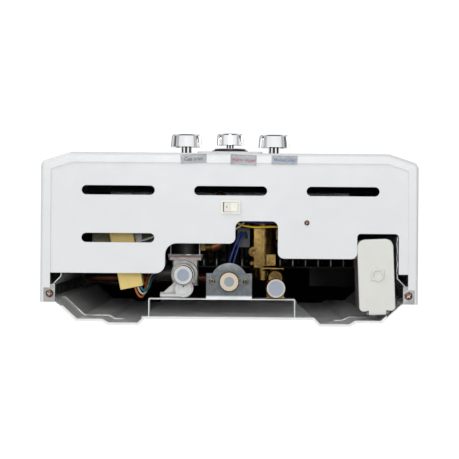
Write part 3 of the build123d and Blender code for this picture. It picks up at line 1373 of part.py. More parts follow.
with BuildPart() as burner_blades:
    # Each blade: a round gas tube below, a waist and a flat head with its row of ports
    with BuildSketch(front_at(BURNER_FRONT)):
        for blade_x in blade_places:
            with Locations((blade_x, level(BLADE_BOTTOM + BLADE_TUBE_HEIGHT / 2))):
                SlotOverall(BLADE_TUBE_HEIGHT, BLADE_THICKNESS, rotation=90)
            with Locations((blade_x, level(BLADE_BOTTOM + BLADE_HEIGHT / 2))):
                Rectangle(BLADE_THICKNESS / 2, BLADE_HEIGHT - BLADE_THICKNESS)
            with Locations((blade_x, level(BLADE_BOTTOM + BLADE_HEIGHT - BLADE_HEAD_HEIGHT / 2))):
                Rectangle(BLADE_THICKNESS, BLADE_HEAD_HEIGHT)
    extrude(amount=BURNER_FRONT - BURNER_REAR)

nozzle_points = [(blade_x, level(NOZZLE_LEVEL)) for blade_x in blade_places]
burner_frame = upright_ring(
    CHAMBER_HALF_WIDTH,
    BURNER_FRAME_FRONT,
    BURNER_FRAME_REAR,
    BURNER_FRAME_BOTTOM,
    BURNER_FRAME_HEIGHT,
    BURNER_SHEET,
    nozzle_points,
    NOZZLE_HOLE_RADIUS,
)

with BuildPart() as gas_rail:
    rail_rear = GAS_RAIL_DEPTH + RAIL_TUBE / 2
    with BuildSketch(Plane.YZ.offset(-CHAMBER_HALF_WIDTH + RAIL_TUBE / 2)):
        with Locations((across(GAS_RAIL_DEPTH), level(NOZZLE_LEVEL))):
            RectangleRounded(RAIL_TUBE, RAIL_TUBE, 2 * SHEET)
    extrude(amount=2 * CHAMBER_HALF_WIDTH - RAIL_TUBE)
    # Lugs that hold the rail to the burner frame
    with BuildSketch(floor_at(NOZZLE_LEVEL - RAIL_TUBE / 4)):
        with Locations((0, across(rail_rear))):
            with GridLocations(2 * CHAMBER_HALF_WIDTH - 1.25 * RAIL_TUBE, 0, 2, 1):
                Rectangle(
                    RAIL_TUBE / 4,
                    2 * (BURNER_FRAME_FRONT - rail_rear),
                )
    extrude(amount=RAIL_TUBE / 2)

with BuildPart() as gas_nozzles:
    with BuildSketch(front_at(rail_rear)):
        with Locations(*nozzle_points):
            RegularPolygon(NOZZLE_RADIUS, 6)
    extrude(amount=rail_rear + SEAT_GAP - BURNER_FRAME_FRONT)

with BuildPart() as burner_brackets:
    for side in (-1, 1):
        with BuildSketch(floor_at(CHAMBER_BOTTOM - RAIL_TUBE)):
            with Locations((
                side * (CHAMBER_HALF_WIDTH + RAIL_INNER) / 2,
                across(BURNER_FRAME_REAR - BRACKET_DEPTH / 2),
            )):
                Rectangle(RAIL_INNER - CHAMBER_HALF_WIDTH, BRACKET_DEPTH)
        extrude(amount=SHEET)
        with BuildSketch(Plane.YZ.offset(side * CHAMBER_HALF_WIDTH)):
            with Locations((
                across(BURNER_FRAME_REAR - BRACKET_DEPTH / 2),
                level(CHAMBER_BOTTOM - RAIL_TUBE),
            )):
                Rectangle(BRACKET_DEPTH, RAIL_TUBE, align=(Align.CENTER, Align.MAX))
        extrude(amount=side * SHEET)

electrode_points = [(side * ELECTRODE_SPACING / 2, level(ELECTRODE_LEVEL)) for side in (-1, 1)]
combustion_chamber = upright_ring(
    CHAMBER_HALF_WIDTH,
    BURNER_FRAME_FRONT,
    BURNER_FRAME_REAR,
    CHAMBER_BOTTOM,
    CHAMBER_HEIGHT,
    BURNER_SHEET,
    electrode_points,
    ELECTRODE_RADIUS,
)

with BuildPart() as electrodes:
    with BuildSketch(front_at(BURNER_FRAME_FRONT - ELECTRODE_TAIL)):
        with Locations(*electrode_points):
            Circle(ELECTRODE_RADIUS)
    extrude(amount=-2 * ELECTRODE_TAIL)
    with BuildSketch(front_at(BURNER_FRAME_FRONT + ELECTRODE_TAIL)):
        with Locations(*electrode_points):
            Circle(ELECTRODE_TIP_RADIUS)
    extrude(amount=-ELECTRODE_TAIL)

with BuildPart() as heat_exchanger:
    with BuildSketch(floor_at(EXCHANGER_BOTTOM)):
        with Locations((0, across(BURNER_MIDDLE))):
            Rectangle(2 * CHAMBER_HALF_WIDTH, CHAMBER_DEPTH)
            Rectangle(
                2 * (CHAMBER_HALF_WIDTH - BURNER_SHEET),
                CHAMBER_DEPTH - 2 * BURNER_SHEET,
                mode=Mode.SUBTRACT,
            )
    extrude(amount=EXCHANGER_HEIGHT)
    with BuildSketch(floor_at(EXCHANGER_BOTTOM + EXCHANGER_HEIGHT / 6)):
        with Locations((0, across(BURNER_MIDDLE))):
            with GridLocations(2 * CHAMBER_HALF_WIDTH / FIN_COUNT, 0, FIN_COUNT, 1):
                Rectangle(FIN_THICKNESS, CHAMBER_DEPTH - BURNER_SHEET)
    extrude(amount=EXCHANGER_HEIGHT * 2 / 3)
    # Return bends join the tubes outside each end
    for side in (-1, 1):
        with BuildLine() as bend_route:
            FilletPolyline(
                place(side * (CHAMBER_HALF_WIDTH - BURNER_SHEET / 2), RETURN_BEND_DEPTH, EXCHANGER_MIDDLE),
                place(side * RETURN_BEND_REACH, RETURN_BEND_DEPTH, EXCHANGER_MIDDLE),
                place(side * RETURN_BEND_REACH, BURNER_FRONT + 2 * SHEET, EXCHANGER_MIDDLE),
                place(
                    side * (CHAMBER_HALF_WIDTH - BURNER_SHEET / 2),
                    BURNER_FRONT + 2 * SHEET,
                    EXCHANGER_MIDDLE,
                ),
                radius=RETURN_BEND_RADIUS,
            )
        with BuildSketch(Plane(origin=bend_route.line @ 0, z_dir=bend_route.line % 0)):
            Circle(WATER_PIPE_RADIUS - WATER_PIPE_WALL)
        sweep(path=bend_route.line)


# ---------------------------------------------------------------- flue

COLLAR_HALF_WIDTH = HOOD_HALF_WIDTH - SHEET - SEAT_GAP
COLLAR_DEPTH = HOOD_REAR - HOOD_FRONT - 2 * SHEET - 2 * SEAT_GAP

with BuildPart() as flue_collector:
    for wall, mode in ((0, Mode.ADD), (SHEET, Mode.SUBTRACT)):
        with BuildSketch(floor_at(COLLECTOR_BOTTOM)):
            with Locations((0, across(BURNER_MIDDLE))):
                Rectangle(2 * (CHAMBER_HALF_WIDTH - wall), CHAMBER_DEPTH - 2 * wall)
        with BuildSketch(floor_at(COLLECTOR_BOTTOM + COLLECTOR_HEIGHT)):
            with Locations((0, across(HOOD_MIDDLE))):
                Rectangle(2 * (COLLAR_HALF_WIDTH - wall), COLLAR_DEPTH - 2 * wall)
        loft(mode=mode)
        with BuildSketch(floor_at(COLLECTOR_BOTTOM + COLLECTOR_HEIGHT)):
            with Locations((0, across(HOOD_MIDDLE))):
                Rectangle(2 * (COLLAR_HALF_WIDTH - wall), COLLAR_DEPTH - 2 * wall)
        extrude(amount=COLLAR_LENGTH, mode=mode)

with BuildPart() as flue_hood:
    with BuildSketch(floor_at(CASE_HEIGHT)):
        with Locations((0, across(HOOD_MIDDLE))):
            Rectangle(2 * HOOD_HALF_WIDTH, HOOD_REAR - HOOD_FRONT)
    extrude(amount=HOOD_HEIGHT)
    fillet(flue_hood.edges().group_by(Axis.Z)[-1], 2 * SHEET)
    with BuildSketch(floor_at(CASE_HEIGHT)):
        with Locations((0, across(HOOD_MIDDLE))):
            Rectangle(2 * (HOOD_HALF_WIDTH + HOOD_SKIRT), HOOD_REAR - HOOD_FRONT + 2 * HOOD_SKIRT)
    extrude(amount=SHEET)
    with BuildSketch(floor_at(CASE_HEIGHT)):
        with Locations((0, across(HOOD_MIDDLE))):
            Rectangle(2 * (HOOD_HALF_WIDTH - SHEET), HOOD_REAR - HOOD_FRONT - 2 * SHEET)
    extrude(amount=HOOD_HEIGHT - SHEET, mode=Mode.SUBTRACT)
    with BuildSketch(front_at(HOOD_FRONT)):
        with Locations((0, level(CASE_HEIGHT + HOOD_SLOT_LEVEL))):
            with GridLocations(HOOD_SLOT_PITCH, 0, HOOD_SLOTS, 1):
                RectangleRounded(HOOD_SLOT_WIDTH, HOOD_SLOT_HEIGHT, SHEET)
    extrude(amount=-SHEET, mode=Mode.SUBTRACT)


# ---------------------------------------------------------------- ignition controller

controller_tilt = math.radians(CONTROLLER_TILT)
controller_plane = Plane(
    origin=place(CONTROLLER_X, CONTROLLER_DEPTH, CONTROLLER_LEVEL),
    x_dir=(math.cos(controller_tilt), -math.sin(controller_tilt), 0),
    z_dir=(0, 0, 1),
)

with BuildPart() as ignition_controller:
    with BuildSketch(controller_plane):
        RectangleRounded(CONTROLLER_WIDTH, CONTROLLER_LENGTH, SHEET)
    extrude(amount=CONTROLLER_HEIGHT)
    chamfer(ignition_controller.faces().sort_by(Axis.Z)[0].edges(), SHEET / 2)

with BuildPart() as controller_bracket:
    strap_level = CONTROLLER_LEVEL + CONTROLLER_HEIGHT
    strap_spot = (-RAIL_INNER, across(CONTROLLER_DEPTH))
    with BuildSketch(floor_at(strap_level)):
        with Locations(strap_spot):
            Rectangle(
                RAIL_INNER - CONTROLLER_PLATE_RIGHT,
                CONTROLLER_STRAP_WIDTH,
                align=(Align.MIN, Align.CENTER),
            )
        with Locations((-CONTROLLER_PLATE_RIGHT, across(CONTROLLER_PLATE_FRONT))):
            Rectangle(
                CONTROLLER_PLATE_LEFT - CONTROLLER_PLATE_RIGHT,
                CONTROLLER_DEPTH - CONTROLLER_PLATE_FRONT,
                align=(Align.MAX, Align.MIN),
            )
    extrude(amount=SHEET)
    with BuildSketch(floor_at(strap_level)):
        with Locations(strap_spot):
            Rectangle(SHEET, CONTROLLER_STRAP_WIDTH, align=(Align.MIN, Align.CENTER))
    extrude(amount=CONTROLLER_STRAP_WIDTH / 2)


# ---------------------------------------------------------------- carry handle

PIVOT_LEVEL = CASE_HEIGHT + GRIP_RADIUS + SEAT_GAP
GRIP_DEPTH = HANDLE_PIVOT_DEPTH - HANDLE_REACH
handle_bail = bent_tube(
    [
        place(-HANDLE_END_X, HANDLE_PIVOT_DEPTH, PIVOT_LEVEL),
        place(-HANDLE_X, HANDLE_PIVOT_DEPTH, PIVOT_LEVEL),
        place(-HANDLE_X, GRIP_DEPTH, PIVOT_LEVEL),
        place(HANDLE_X, GRIP_DEPTH, PIVOT_LEVEL),
        place(HANDLE_X, HANDLE_PIVOT_DEPTH, PIVOT_LEVEL),
        place(HANDLE_END_X, HANDLE_PIVOT_DEPTH, PIVOT_LEVEL),
    ],
    HANDLE_ROD_RADIUS,
    HANDLE_BEND,
)

with BuildPart() as handle_grip:
    with BuildSketch(Plane.YZ):
        with Locations((across(GRIP_DEPTH), level(PIVOT_LEVEL))):
            Circle(GRIP_RADIUS)
    extrude(amount=GRIP_LENGTH / 2, both=True)
    fillet(handle_grip.edges().group_by(Axis.X)[0], 2 * SHEET)
    fillet(handle_grip.edges().group_by(Axis.X)[-1], 2 * SHEET)
    with BuildSketch(Plane.YZ):
        with Locations((across(GRIP_DEPTH), level(PIVOT_LEVEL))):
            Circle(HANDLE_ROD_RADIUS)
    extrude(amount=GRIP_LENGTH / 2, both=True, mode=Mode.SUBTRACT)

with BuildPart() as handle_brackets:
    for side in (-1, 1):
        with BuildSketch(floor_at(CASE_HEIGHT)):
            with Locations((side * EAR_X, across(HANDLE_PIVOT_DEPTH))):
                Rectangle(
                    EAR_WIDTH,
                    EAR_LENGTH,
                    align=(Align.MAX if side > 0 else Align.MIN, Align.CENTER),
                )
        extrude(amount=EAR_BASE)
        with BuildSketch(Plane.YZ.offset(side * EAR_X)):
            with Locations((across(HANDLE_PIVOT_DEPTH), level(PIVOT_LEVEL))):
                Circle(EAR_LENGTH / 2 - 2 * SHEET)
            with Locations((across(HANDLE_PIVOT_DEPTH), level(CASE_HEIGHT))):
                Rectangle(
                    EAR_LENGTH - 4 * SHEET,
                    PIVOT_LEVEL - CASE_HEIGHT,
                    align=(Align.CENTER, Align.MIN),
                )
            with Locations((across(HANDLE_PIVOT_DEPTH), level(PIVOT_LEVEL))):
                Circle(HANDLE_ROD_RADIUS + RUNNING_GAP, mode=Mode.SUBTRACT)
        extrude(amount=-side * EAR_THICKNESS)


# ---------------------------------------------------------------- leads

switch_terminal_top = SHEET + SWITCH_BODY_HEIGHT + TERMINAL_LENGTH
microswitch_terminal_end = BARREL_LEVEL - MICROSWITCH_HEIGHT / 2 - TERMINAL_LENGTH


def lead_along(route):
    """A thin insulated lead round a route, held by its pieces at both ends."""
    with BuildPart() as wire:
        with BuildSketch(Plane(origin=route.line @ 0, z_dir=route.line % 0)):
            Circle(LEAD_RADIUS)
        sweep(path=route.line)
    return wire


def lead(points, start, end):
    """A lead through some points, with its directions at both ends."""
    with BuildLine() as route:
        Spline(*points, tangents=(start, end), tangent_scalars=(1.0, 1.0))
    return lead_along(route)


UPWARD = (0, 0, 1)
DOWNWARD = (0, 0, -1)
switch_right = SWITCH_X + TERMINAL_SPACING / 2
switch_left = SWITCH_X - TERMINAL_SPACING / 2
box_side = battery_plane.from_local_coords((-BOX_WIDTH / 2 - LEAD_GAP, -BOX_LENGTH / 4, LEAD_BOX_LEVEL))
box_front_side = battery_plane.from_local_coords(
    (-BOX_WIDTH / 2 - LEAD_GAP, -BOX_LENGTH / 3, LEAD_BOX_LEVEL + LEAD_SPREAD)
)
controller_side = controller_plane.from_local_coords(
    (CONTROLLER_WIDTH / 2 + LEAD_GAP, -CONTROLLER_LENGTH / 4, CONTROLLER_HEIGHT / 3)
)
controller_middle = controller_plane.from_local_coords(
    (CONTROLLER_WIDTH / 2 + LEAD_GAP, -CONTROLLER_LENGTH / 8, CONTROLLER_HEIGHT / 3)
)
lead_yellow = lead(
    [
        place(switch_right, SWITCH_DEPTH, switch_terminal_top),
        place(switch_right - LEAD_SPREAD / 3, SWITCH_DEPTH + 2 * LEAD_SPREAD, LEAD_LEVEL + LEAD_SPREAD / 2),
        place(BARREL_X - BARREL_RADIUS, BRASS_NOTCH_DEPTH + LEAD_SPREAD, LEAD_LEVEL),
        place(BARREL_X + BARREL_RADIUS, BRASS_NOTCH_DEPTH + LEAD_SPREAD, LEAD_LEVEL),
        (box_side.X - 8 * LEAD_SPREAD, box_side.Y - 3 * LEAD_SPREAD, box_side.Z),
        box_side,
    ],
    UPWARD,
    battery_plane.x_dir,
)
flange_top = PLATE_TOP + OUTLET_FLANGE_THICKNESS
flange_front = OUTLET_DEPTH - OUTLET_FLANGE_RADIUS + 2 * SHEET
with BuildPart() as lead_blue:
    # Two leads from the microswitch down to the outlet, and one from the batteries to the controller
    for side in (-1, 1):
        apart = side * 2 * LEAD_RADIUS
        add(lead(
            [
                place(
                    microswitch_x + side * MICROSWITCH_WIDTH / 4,
                    MICROSWITCH_DEPTH,
                    microswitch_terminal_end,
                ),
                place(microswitch_x + apart, MICROSWITCH_DEPTH - LEAD_SPREAD, LEAD_LEVEL + LEAD_SPREAD),
                place(microswitch_x / 2 + apart, PORT_DEPTH - LEAD_SPREAD, LEAD_LEVEL - LEAD_SPREAD / 2),
                place(apart, flange_front, flange_top),
            ],
            DOWNWARD,
            DOWNWARD,
        ).part)
    add(lead(
        [
            box_front_side,
            (box_front_side.X - 8 * LEAD_SPREAD, box_front_side.Y - 4 * LEAD_SPREAD, box_front_side.Z),
            place(BARREL_X + BARREL_RADIUS, BRASS_NOTCH_DEPTH + LEAD_RADIUS, LEAD_LEVEL + LEAD_SPREAD),
            place(BARREL_X - BARREL_RADIUS, BRASS_NOTCH_DEPTH + LEAD_RADIUS, LEAD_LEVEL + LEAD_SPREAD),
            place(GAS_PIPE_X, BRASS_NOTCH_DEPTH - LEAD_SPREAD / 2, LEAD_LEVEL + 3.5 * LEAD_SPREAD),
            place(GAS_X, BRASS_NOTCH_DEPTH + LEAD_SPREAD, LEAD_LEVEL + 3 * LEAD_SPREAD),
            controller_middle,
        ],
        -battery_plane.x_dir,
        -controller_plane.x_dir,
    ).part)

lead_white = lead(
    [
        place(switch_left, SWITCH_DEPTH, switch_terminal_top),
        place(switch_right + LEAD_SPREAD / 2, SWITCH_DEPTH + LEAD_SPREAD / 2, LEAD_LEVEL + 1.5 * LEAD_SPREAD),
        place(switch_right + 2 * LEAD_SPREAD, SWITCH_DEPTH + 2 * LEAD_SPREAD, LEAD_LEVEL + 2 * LEAD_SPREAD),
        place(switch_right, BRASS_NOTCH_DEPTH + 1.5 * LEAD_SPREAD, LEAD_LEVEL + 1.5 * LEAD_SPREAD),
        place(GAS_X / 2, BRASS_NOTCH_DEPTH + 2 * LEAD_SPREAD, LEAD_LEVEL + LEAD_SPREAD),
        place(GAS_X - BONNET_RADIUS, BRASS_NOTCH_DEPTH + 2 * LEAD_SPREAD, LEAD_LEVEL + LEAD_SPREAD),
        controller_side,
    ],
    UPWARD,
    -controller_plane.x_dir,
)
solenoid_end = GAS_X - VALVE_BODY_WIDTH / 2 - SOLENOID_LENGTH


def controller_lead(index):
    """One of the leads from the rear of the controller round to the solenoid's end."""
    outward = LEAD_PITCH * (2 - index)
    start = controller_plane.from_local_coords(
        (LEAD_PITCH * (index + 1), CONTROLLER_LENGTH / 2 + LEAD_GAP, CONTROLLER_HEIGHT / 3)
    )
    bow = HAT_FRONT - LEAD_SPREAD
    end_depth = GAS_DEPTH + LEAD_PITCH - outward
    with BuildLine() as route:
        Bezier(
            start,
            start + controller_plane.y_dir * (CONTROLLER_LENGTH / 8 + 1.6 * outward),
            place(solenoid_end - LEAD_SPREAD, bow + 1.6 * outward, LEAD_LEVEL),
            place(
                solenoid_end - LEAD_SPREAD / 2 - 1.5 * outward,
                bow - LEAD_SPREAD + 0.3 * outward,
                SOLENOID_LEVEL - 6 * LEAD_SPREAD,
            ),
            place(solenoid_end - 1.5 * LEAD_SPREAD - outward, end_depth, SOLENOID_LEVEL),
            place(solenoid_end, end_depth, SOLENOID_LEVEL),
        )
    return lead_along(route)


with BuildPart() as leads_controller:
    for index in range(3):
        add(controller_lead(index).part)


# ---------------------------------------------------------------- files

pieces = {
    "front_cover": front_cover,
    "bottom_panel": bottom_panel,
    "back_panel": back_panel,
    "side_rails": side_rails,
    "case_screws": case_screws,
    "fascia_plate": fascia_plate,
    "display_window": display_window,
    "escutcheon": escutcheon,
    "escutcheon_ring": escutcheon_ring,
    "gas_knob": gas_knob,
    "season_knob": season_knob,
    "water_knob": water_knob,
    "gas_shaft": gas_shaft,
    "season_shaft": season_shaft,
    "water_shaft": water_shaft,
    "season_selector": season_selector,
    "switch_housing": switch_housing,
    "power_rocker": power_rocker,
    "battery_box": battery_box,
    "battery_contacts": battery_contacts,
    "battery_door": battery_door,
    "connector_bracket": connector_bracket,
    "plate_screws": plate_screws,
    "gas_bonnet": gas_bonnet,
    "valve_yoke": valve_yoke,
    "valve_gasket": valve_gasket,
    "valve_plate": valve_plate,
    "gas_valve_body": gas_valve_body,
    "gas_solenoid": gas_solenoid,
    "gas_inlet_fitting": gas_inlet_fitting,
    "gas_plug": gas_plug,
    "gas_pipe": gas_pipe,
    "gas_union_nut": gas_union_nut,
    "gas_rail": gas_rail,
    "gas_nozzles": gas_nozzles,
    "water_valve_body": water_valve_body,
    "water_inlet_fitting": water_inlet_fitting,
    "inlet_plug": inlet_plug,
    "flow_microswitch": flow_microswitch,
    "cold_pipe": cold_pipe,
    "hot_pipe": hot_pipe,
    "outlet_fitting": outlet_fitting,
    "outlet_plug": outlet_plug,
    "burner_blades": burner_blades,
    "burner_frame": burner_frame,
    "burner_brackets": burner_brackets,
    "combustion_chamber": combustion_chamber,
    "electrodes": electrodes,
    "heat_exchanger": heat_exchanger,
    "flue_collector": flue_collector,
    "flue_hood": flue_hood,
    "ignition_controller": ignition_controller,
    "controller_bracket": controller_bracket,
    "handle_bail": handle_bail,
    "handle_grip": handle_grip,
    "handle_brackets": handle_brackets,
    "lead_yellow": lead_yellow,
    "lead_blue": lead_blue,
    "lead_white": lead_white,
    "leads_controller": leads_controller,
}

os.makedirs("parts", exist_ok=True)
for name, piece in pieces.items():
    piece.part.label = name
    export_step(piece.part, f"parts/{name}.step")
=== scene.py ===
"""A portable gas water heater seen from straight below: looks, stage, light and camera."""
import math

import bmesh
import bpy
from mathutils import Matrix, Vector
from mathutils.bvhtree import BVHTree


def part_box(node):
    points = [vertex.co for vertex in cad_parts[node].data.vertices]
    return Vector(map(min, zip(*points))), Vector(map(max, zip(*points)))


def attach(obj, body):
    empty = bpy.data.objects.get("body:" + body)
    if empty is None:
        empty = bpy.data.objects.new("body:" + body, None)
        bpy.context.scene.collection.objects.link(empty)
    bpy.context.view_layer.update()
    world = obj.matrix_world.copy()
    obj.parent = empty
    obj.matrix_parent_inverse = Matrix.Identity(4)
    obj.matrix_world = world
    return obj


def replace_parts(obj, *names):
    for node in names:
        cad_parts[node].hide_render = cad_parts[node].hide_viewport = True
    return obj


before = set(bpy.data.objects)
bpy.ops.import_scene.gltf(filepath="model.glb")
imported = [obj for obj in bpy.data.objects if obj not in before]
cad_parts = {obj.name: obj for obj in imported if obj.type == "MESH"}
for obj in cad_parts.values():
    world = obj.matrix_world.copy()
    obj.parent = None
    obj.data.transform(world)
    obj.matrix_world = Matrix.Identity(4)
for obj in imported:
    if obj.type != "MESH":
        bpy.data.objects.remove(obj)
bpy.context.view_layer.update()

WALL_DEPTH = 0.192
HALF_HEIGHT = 0.320


def place(x, depth, height):
    """A point in metres: from the middle plane, behind the front, above the bottom of the case."""
    return Vector((x, depth - WALL_DEPTH, height - HALF_HEIGHT))


# ------------------------------------------------------------------ camera

CAMERA_DISTANCE = 2.0
CAMERA_DEPTH = 0.085
CAMERA_LENS = 141.2
CAMERA_ROLL = math.radians(0.45)
camera_data = bpy.data.cameras.new("camera")
camera_data.lens = CAMERA_LENS
camera_data.sensor_width = 36.0
camera_data.clip_start = 0.01
camera = bpy.data.objects.new("camera", camera_data)
bpy.context.scene.collection.objects.link(camera)
look_up = Matrix(((1, 0, 0), (0, -1, 0), (0, 0, -1)))
roll = Matrix.Rotation(CAMERA_ROLL, 3, "Z")
stand = Matrix.Translation(place(0, CAMERA_DEPTH, -CAMERA_DISTANCE))
camera.matrix_world = stand @ (look_up @ roll).to_4x4()
bpy.context.scene.camera = camera


# ------------------------------------------------------------------ materials

def shader(name):
    """A material with nodes: its tree, its shader and the object's own coordinates."""
    material = bpy.data.materials.new(name)
    material.use_nodes = True
    tree = material.node_tree
    bsdf = tree.nodes["Principled BSDF"]
    coordinates = tree.nodes.new("ShaderNodeTexCoord").outputs["Object"]
    return material, tree, bsdf, coordinates


def noise(tree, coordinates, scale, detail=3.0, roughness=0.5, stretch=None):
    """Soft noise between 0 and 1, drawn out along an axis where stretch says so."""
    if stretch:
        mapping = tree.nodes.new("ShaderNodeMapping")
        mapping.inputs["Scale"].default_value = stretch
        tree.links.new(coordinates, mapping.inputs["Vector"])
        coordinates = mapping.outputs["Vector"]
    node = tree.nodes.new("ShaderNodeTexNoise")
    node.inputs["Scale"].default_value = scale
    node.inputs["Detail"].default_value = detail
    node.inputs["Roughness"].default_value = roughness
    tree.links.new(coordinates, node.inputs["Vector"])
    return node.outputs["Fac"]


def spread(tree, value, low, high, from_low=0.3, from_high=0.7):
    """The value's range from_low to from_high mapped to low to high, and held beyond it."""
    node = tree.nodes.new("ShaderNodeMapRange")
    node.inputs["From Min"].default_value = from_low
    node.inputs["From Max"].default_value = from_high
    node.inputs["To Min"].default_value = low
    node.inputs["To Max"].default_value = high
    tree.links.new(value, node.inputs["Value"])
    return node.outputs["Result"]


def mix(tree, factor, one, two):
    """One colour where the factor is 0, the other where it is 1. Each is a socket or a tuple."""
    node = tree.nodes.new("ShaderNodeMix")
    node.data_type = "RGBA"
    tree.links.new(factor, node.inputs["Factor"])
    for socket, value in ((node.inputs["A"], one), (node.inputs["B"], two)):
        if isinstance(value, tuple):
            socket.default_value = (*value, 1.0)
        else:
            tree.links.new(value, socket)
    return node.outputs["Result"]


def bump(tree, bsdf, height, strength, distance):
    """Small relief from a height value."""
    node = tree.nodes.new("ShaderNodeBump")
    node.inputs["Strength"].default_value = strength
    node.inputs["Distance"].default_value = distance
    tree.links.new(height, node.inputs["Height"])
    tree.links.new(node.outputs["Normal"], bsdf.inputs["Normal"])


def axes(tree, kind):
    """The object's own position (Object) or surface direction (Normal), split along X, Y and Z."""
    parts = tree.nodes.new("ShaderNodeSeparateXYZ")
    tree.links.new(tree.nodes.new("ShaderNodeTexCoord").outputs[kind], parts.inputs["Vector"])
    return parts.outputs


def combine(tree, operation, one, two):
    """Two values joined by a math node."""
    node = tree.nodes.new("ShaderNodeMath")
    node.operation = operation
    tree.links.new(one, node.inputs[0])
    tree.links.new(two, node.inputs[1])
    return node.outputs["Value"]


def facing_down(tree):
    """1 on faces that look down, 0 on the rest."""
    return spread(tree, axes(tree, "Normal")["Z"], 1.0, 0.0, -0.8, -0.6)


def linked(bsdf, name):
    """The socket that already feeds this input of the shader."""
    return bsdf.inputs[name].links[0].from_socket


def painted(name, light, dark, rough=(0.28, 0.4), coat=0.25):
    """Baked enamel: faint orange peel, slight clouding and a clear gloss."""
    material, tree, bsdf, where = shader(name)
    cloud = spread(tree, noise(tree, where, 14.0, 4.0), 0.0, 1.0)
    tree.links.new(mix(tree, cloud, light, dark), bsdf.inputs["Base Color"])
    tree.links.new(spread(tree, noise(tree, where, 60.0), *rough), bsdf.inputs["Roughness"])
    bsdf.inputs["Coat Weight"].default_value = coat
    bsdf.inputs["Coat Roughness"].default_value = 0.12
    bump(tree, bsdf, noise(tree, where, 900.0, 2.0), 0.05, 0.0004)
    return material


def moulded(name, light, dark, rough=(0.4, 0.55), grain=1500.0, depth=0.12, through=0.0):
    """Moulded plastic: fine grain, faint flow marks, some light through the thin ones."""
    material, tree, bsdf, where = shader(name)
    flow = spread(tree, noise(tree, where, 45.0, 5.0), 0.0, 1.0)
    tree.links.new(mix(tree, flow, light, dark), bsdf.inputs["Base Color"])
    tree.links.new(spread(tree, noise(tree, where, 160.0), *rough), bsdf.inputs["Roughness"])
    bsdf.inputs["Subsurface Weight"].default_value = through
    bsdf.inputs["Subsurface Scale"].default_value = 0.004
    bump(tree, bsdf, noise(tree, where, grain, 2.0), depth, 0.0002)
    return material


def galvanised(
    name, light, dark, rough=(0.28, 0.5), crystals=130.0, stained=0.6, metallic=0.45, dents=0.0
):
    """Zinc-coated sheet: spangle in the colour and in the gloss, with drawn grain or soft dents."""
    material, tree, bsdf, where = shader(name)
    crystal = tree.nodes.new("ShaderNodeTexVoronoi")
    crystal.inputs["Scale"].default_value = crystals
    tree.links.new(where, crystal.inputs["Vector"])
    grey = tree.nodes.new("ShaderNodeRGBToBW")
    tree.links.new(crystal.outputs["Color"], grey.inputs["Color"])
    spangle = spread(tree, grey.outputs["Val"], 0.0, 1.0, 0.2, 0.8)
    tint = mix(tree, spangle, light, dark)
    stain = spread(tree, noise(tree, where, 22.0, 6.0, 0.65), 0.0, stained, 0.45, 0.75)
    stained_tint = mix(tree, stain, tint, tuple(0.55 * c for c in dark))
    tree.links.new(stained_tint, bsdf.inputs["Base Color"])
    tree.links.new(spread(tree, grey.outputs["Val"], *rough, 0.2, 0.8), bsdf.inputs["Roughness"])
    bsdf.inputs["Metallic"].default_value = metallic
    if dents:
        bump(tree, bsdf, noise(tree, where, 15.0, 5.0, 0.6, (0.6, 0.6, 1.0)), 1.0, dents)
    else:
        bump(tree, bsdf, noise(tree, where, 260.0, 4.0, 0.6, (1.0, 1.0, 0.25)), 0.12, 0.0004)
    return material


# Painted shade: near black on the downward faces high inside the case, where little light reaches,
# and a lighter grey in front of the burner.
TOP_SHADE = (0.012, 0.011, 0.010)
FRONT_TOP_SHADE = (0.17, 0.18, 0.185)
TOP_SHADE_LEVEL = HALF_HEIGHT - 0.06
BURNER_FRONT = -0.138


def painted_shade_inside(material):
    """Painted shade on the inner side of the top, lighter in front of the burner, and matt all
    over.
    """
    tree = material.node_tree
    bsdf = tree.nodes["Principled BSDF"]
    where = axes(tree, "Object")
    high = spread(tree, where["Z"], 0.0, 1.0, TOP_SHADE_LEVEL - 0.02, TOP_SHADE_LEVEL)
    mask = combine(tree, "MULTIPLY", facing_down(tree), high)
    forward = spread(tree, where["Y"], 1.0, 0.0, BURNER_FRONT - 0.007, BURNER_FRONT)
    shade_colour = mix(tree, forward, TOP_SHADE, FRONT_TOP_SHADE)
    paint = linked(bsdf, "Base Color")
    tree.links.new(mix(tree, mask, paint, shade_colour), bsdf.inputs["Base Color"])
    matt = combine(tree, "MAXIMUM", linked(bsdf, "Roughness"), mask)
    tree.links.new(matt, bsdf.inputs["Roughness"])
    return material


RIM_PAINT = (0.68, 0.69, 0.70)
RIM_LEVEL = -HALF_HEIGHT + 0.0015
RIM_BEHIND = -0.0225
# A darker copy of the pan's zinc for the tabs' undersides, which the lamps reach; the pan's
# near-white inside tint is painted light.
TAB_ZINC = (0.33, 0.335, 0.33)


def outside_painted(material):
    """Enamel on a sheet's back and rear rim, a darker zinc under its tabs, which face the lamps,
    and the sheet's own tint inside, which on the pan is brightened as painted light.
    """
    tree = material.node_tree
    bsdf = tree.nodes["Principled BSDF"]
    where = axes(tree, "Object")
    outer = spread(tree, axes(tree, "Normal")["Y"], 0.0, 1.0, 0.3, 0.4)
    low = spread(tree, where["Z"], 1.0, 0.0, RIM_LEVEL, RIM_LEVEL + 0.0002)
    edge = combine(tree, "MULTIPLY", facing_down(tree), low)
    rear = spread(tree, where["Y"], 0.0, 1.0, RIM_BEHIND - 0.001, RIM_BEHIND)
    mask = combine(tree, "MAXIMUM", outer, combine(tree, "MULTIPLY", edge, rear))
    # Under the tabs the darker copy of the zinc, against the brightened inside tint.
    foot = mix(tree, edge, linked(bsdf, "Base Color"), TAB_ZINC)
    tree.links.new(mix(tree, mask, foot, RIM_PAINT), bsdf.inputs["Base Color"])
    metallic = bsdf.inputs["Metallic"].default_value
    tree.links.new(spread(tree, mask, metallic, 0.0, 0.0, 1.0), bsdf.inputs["Metallic"])
    return material


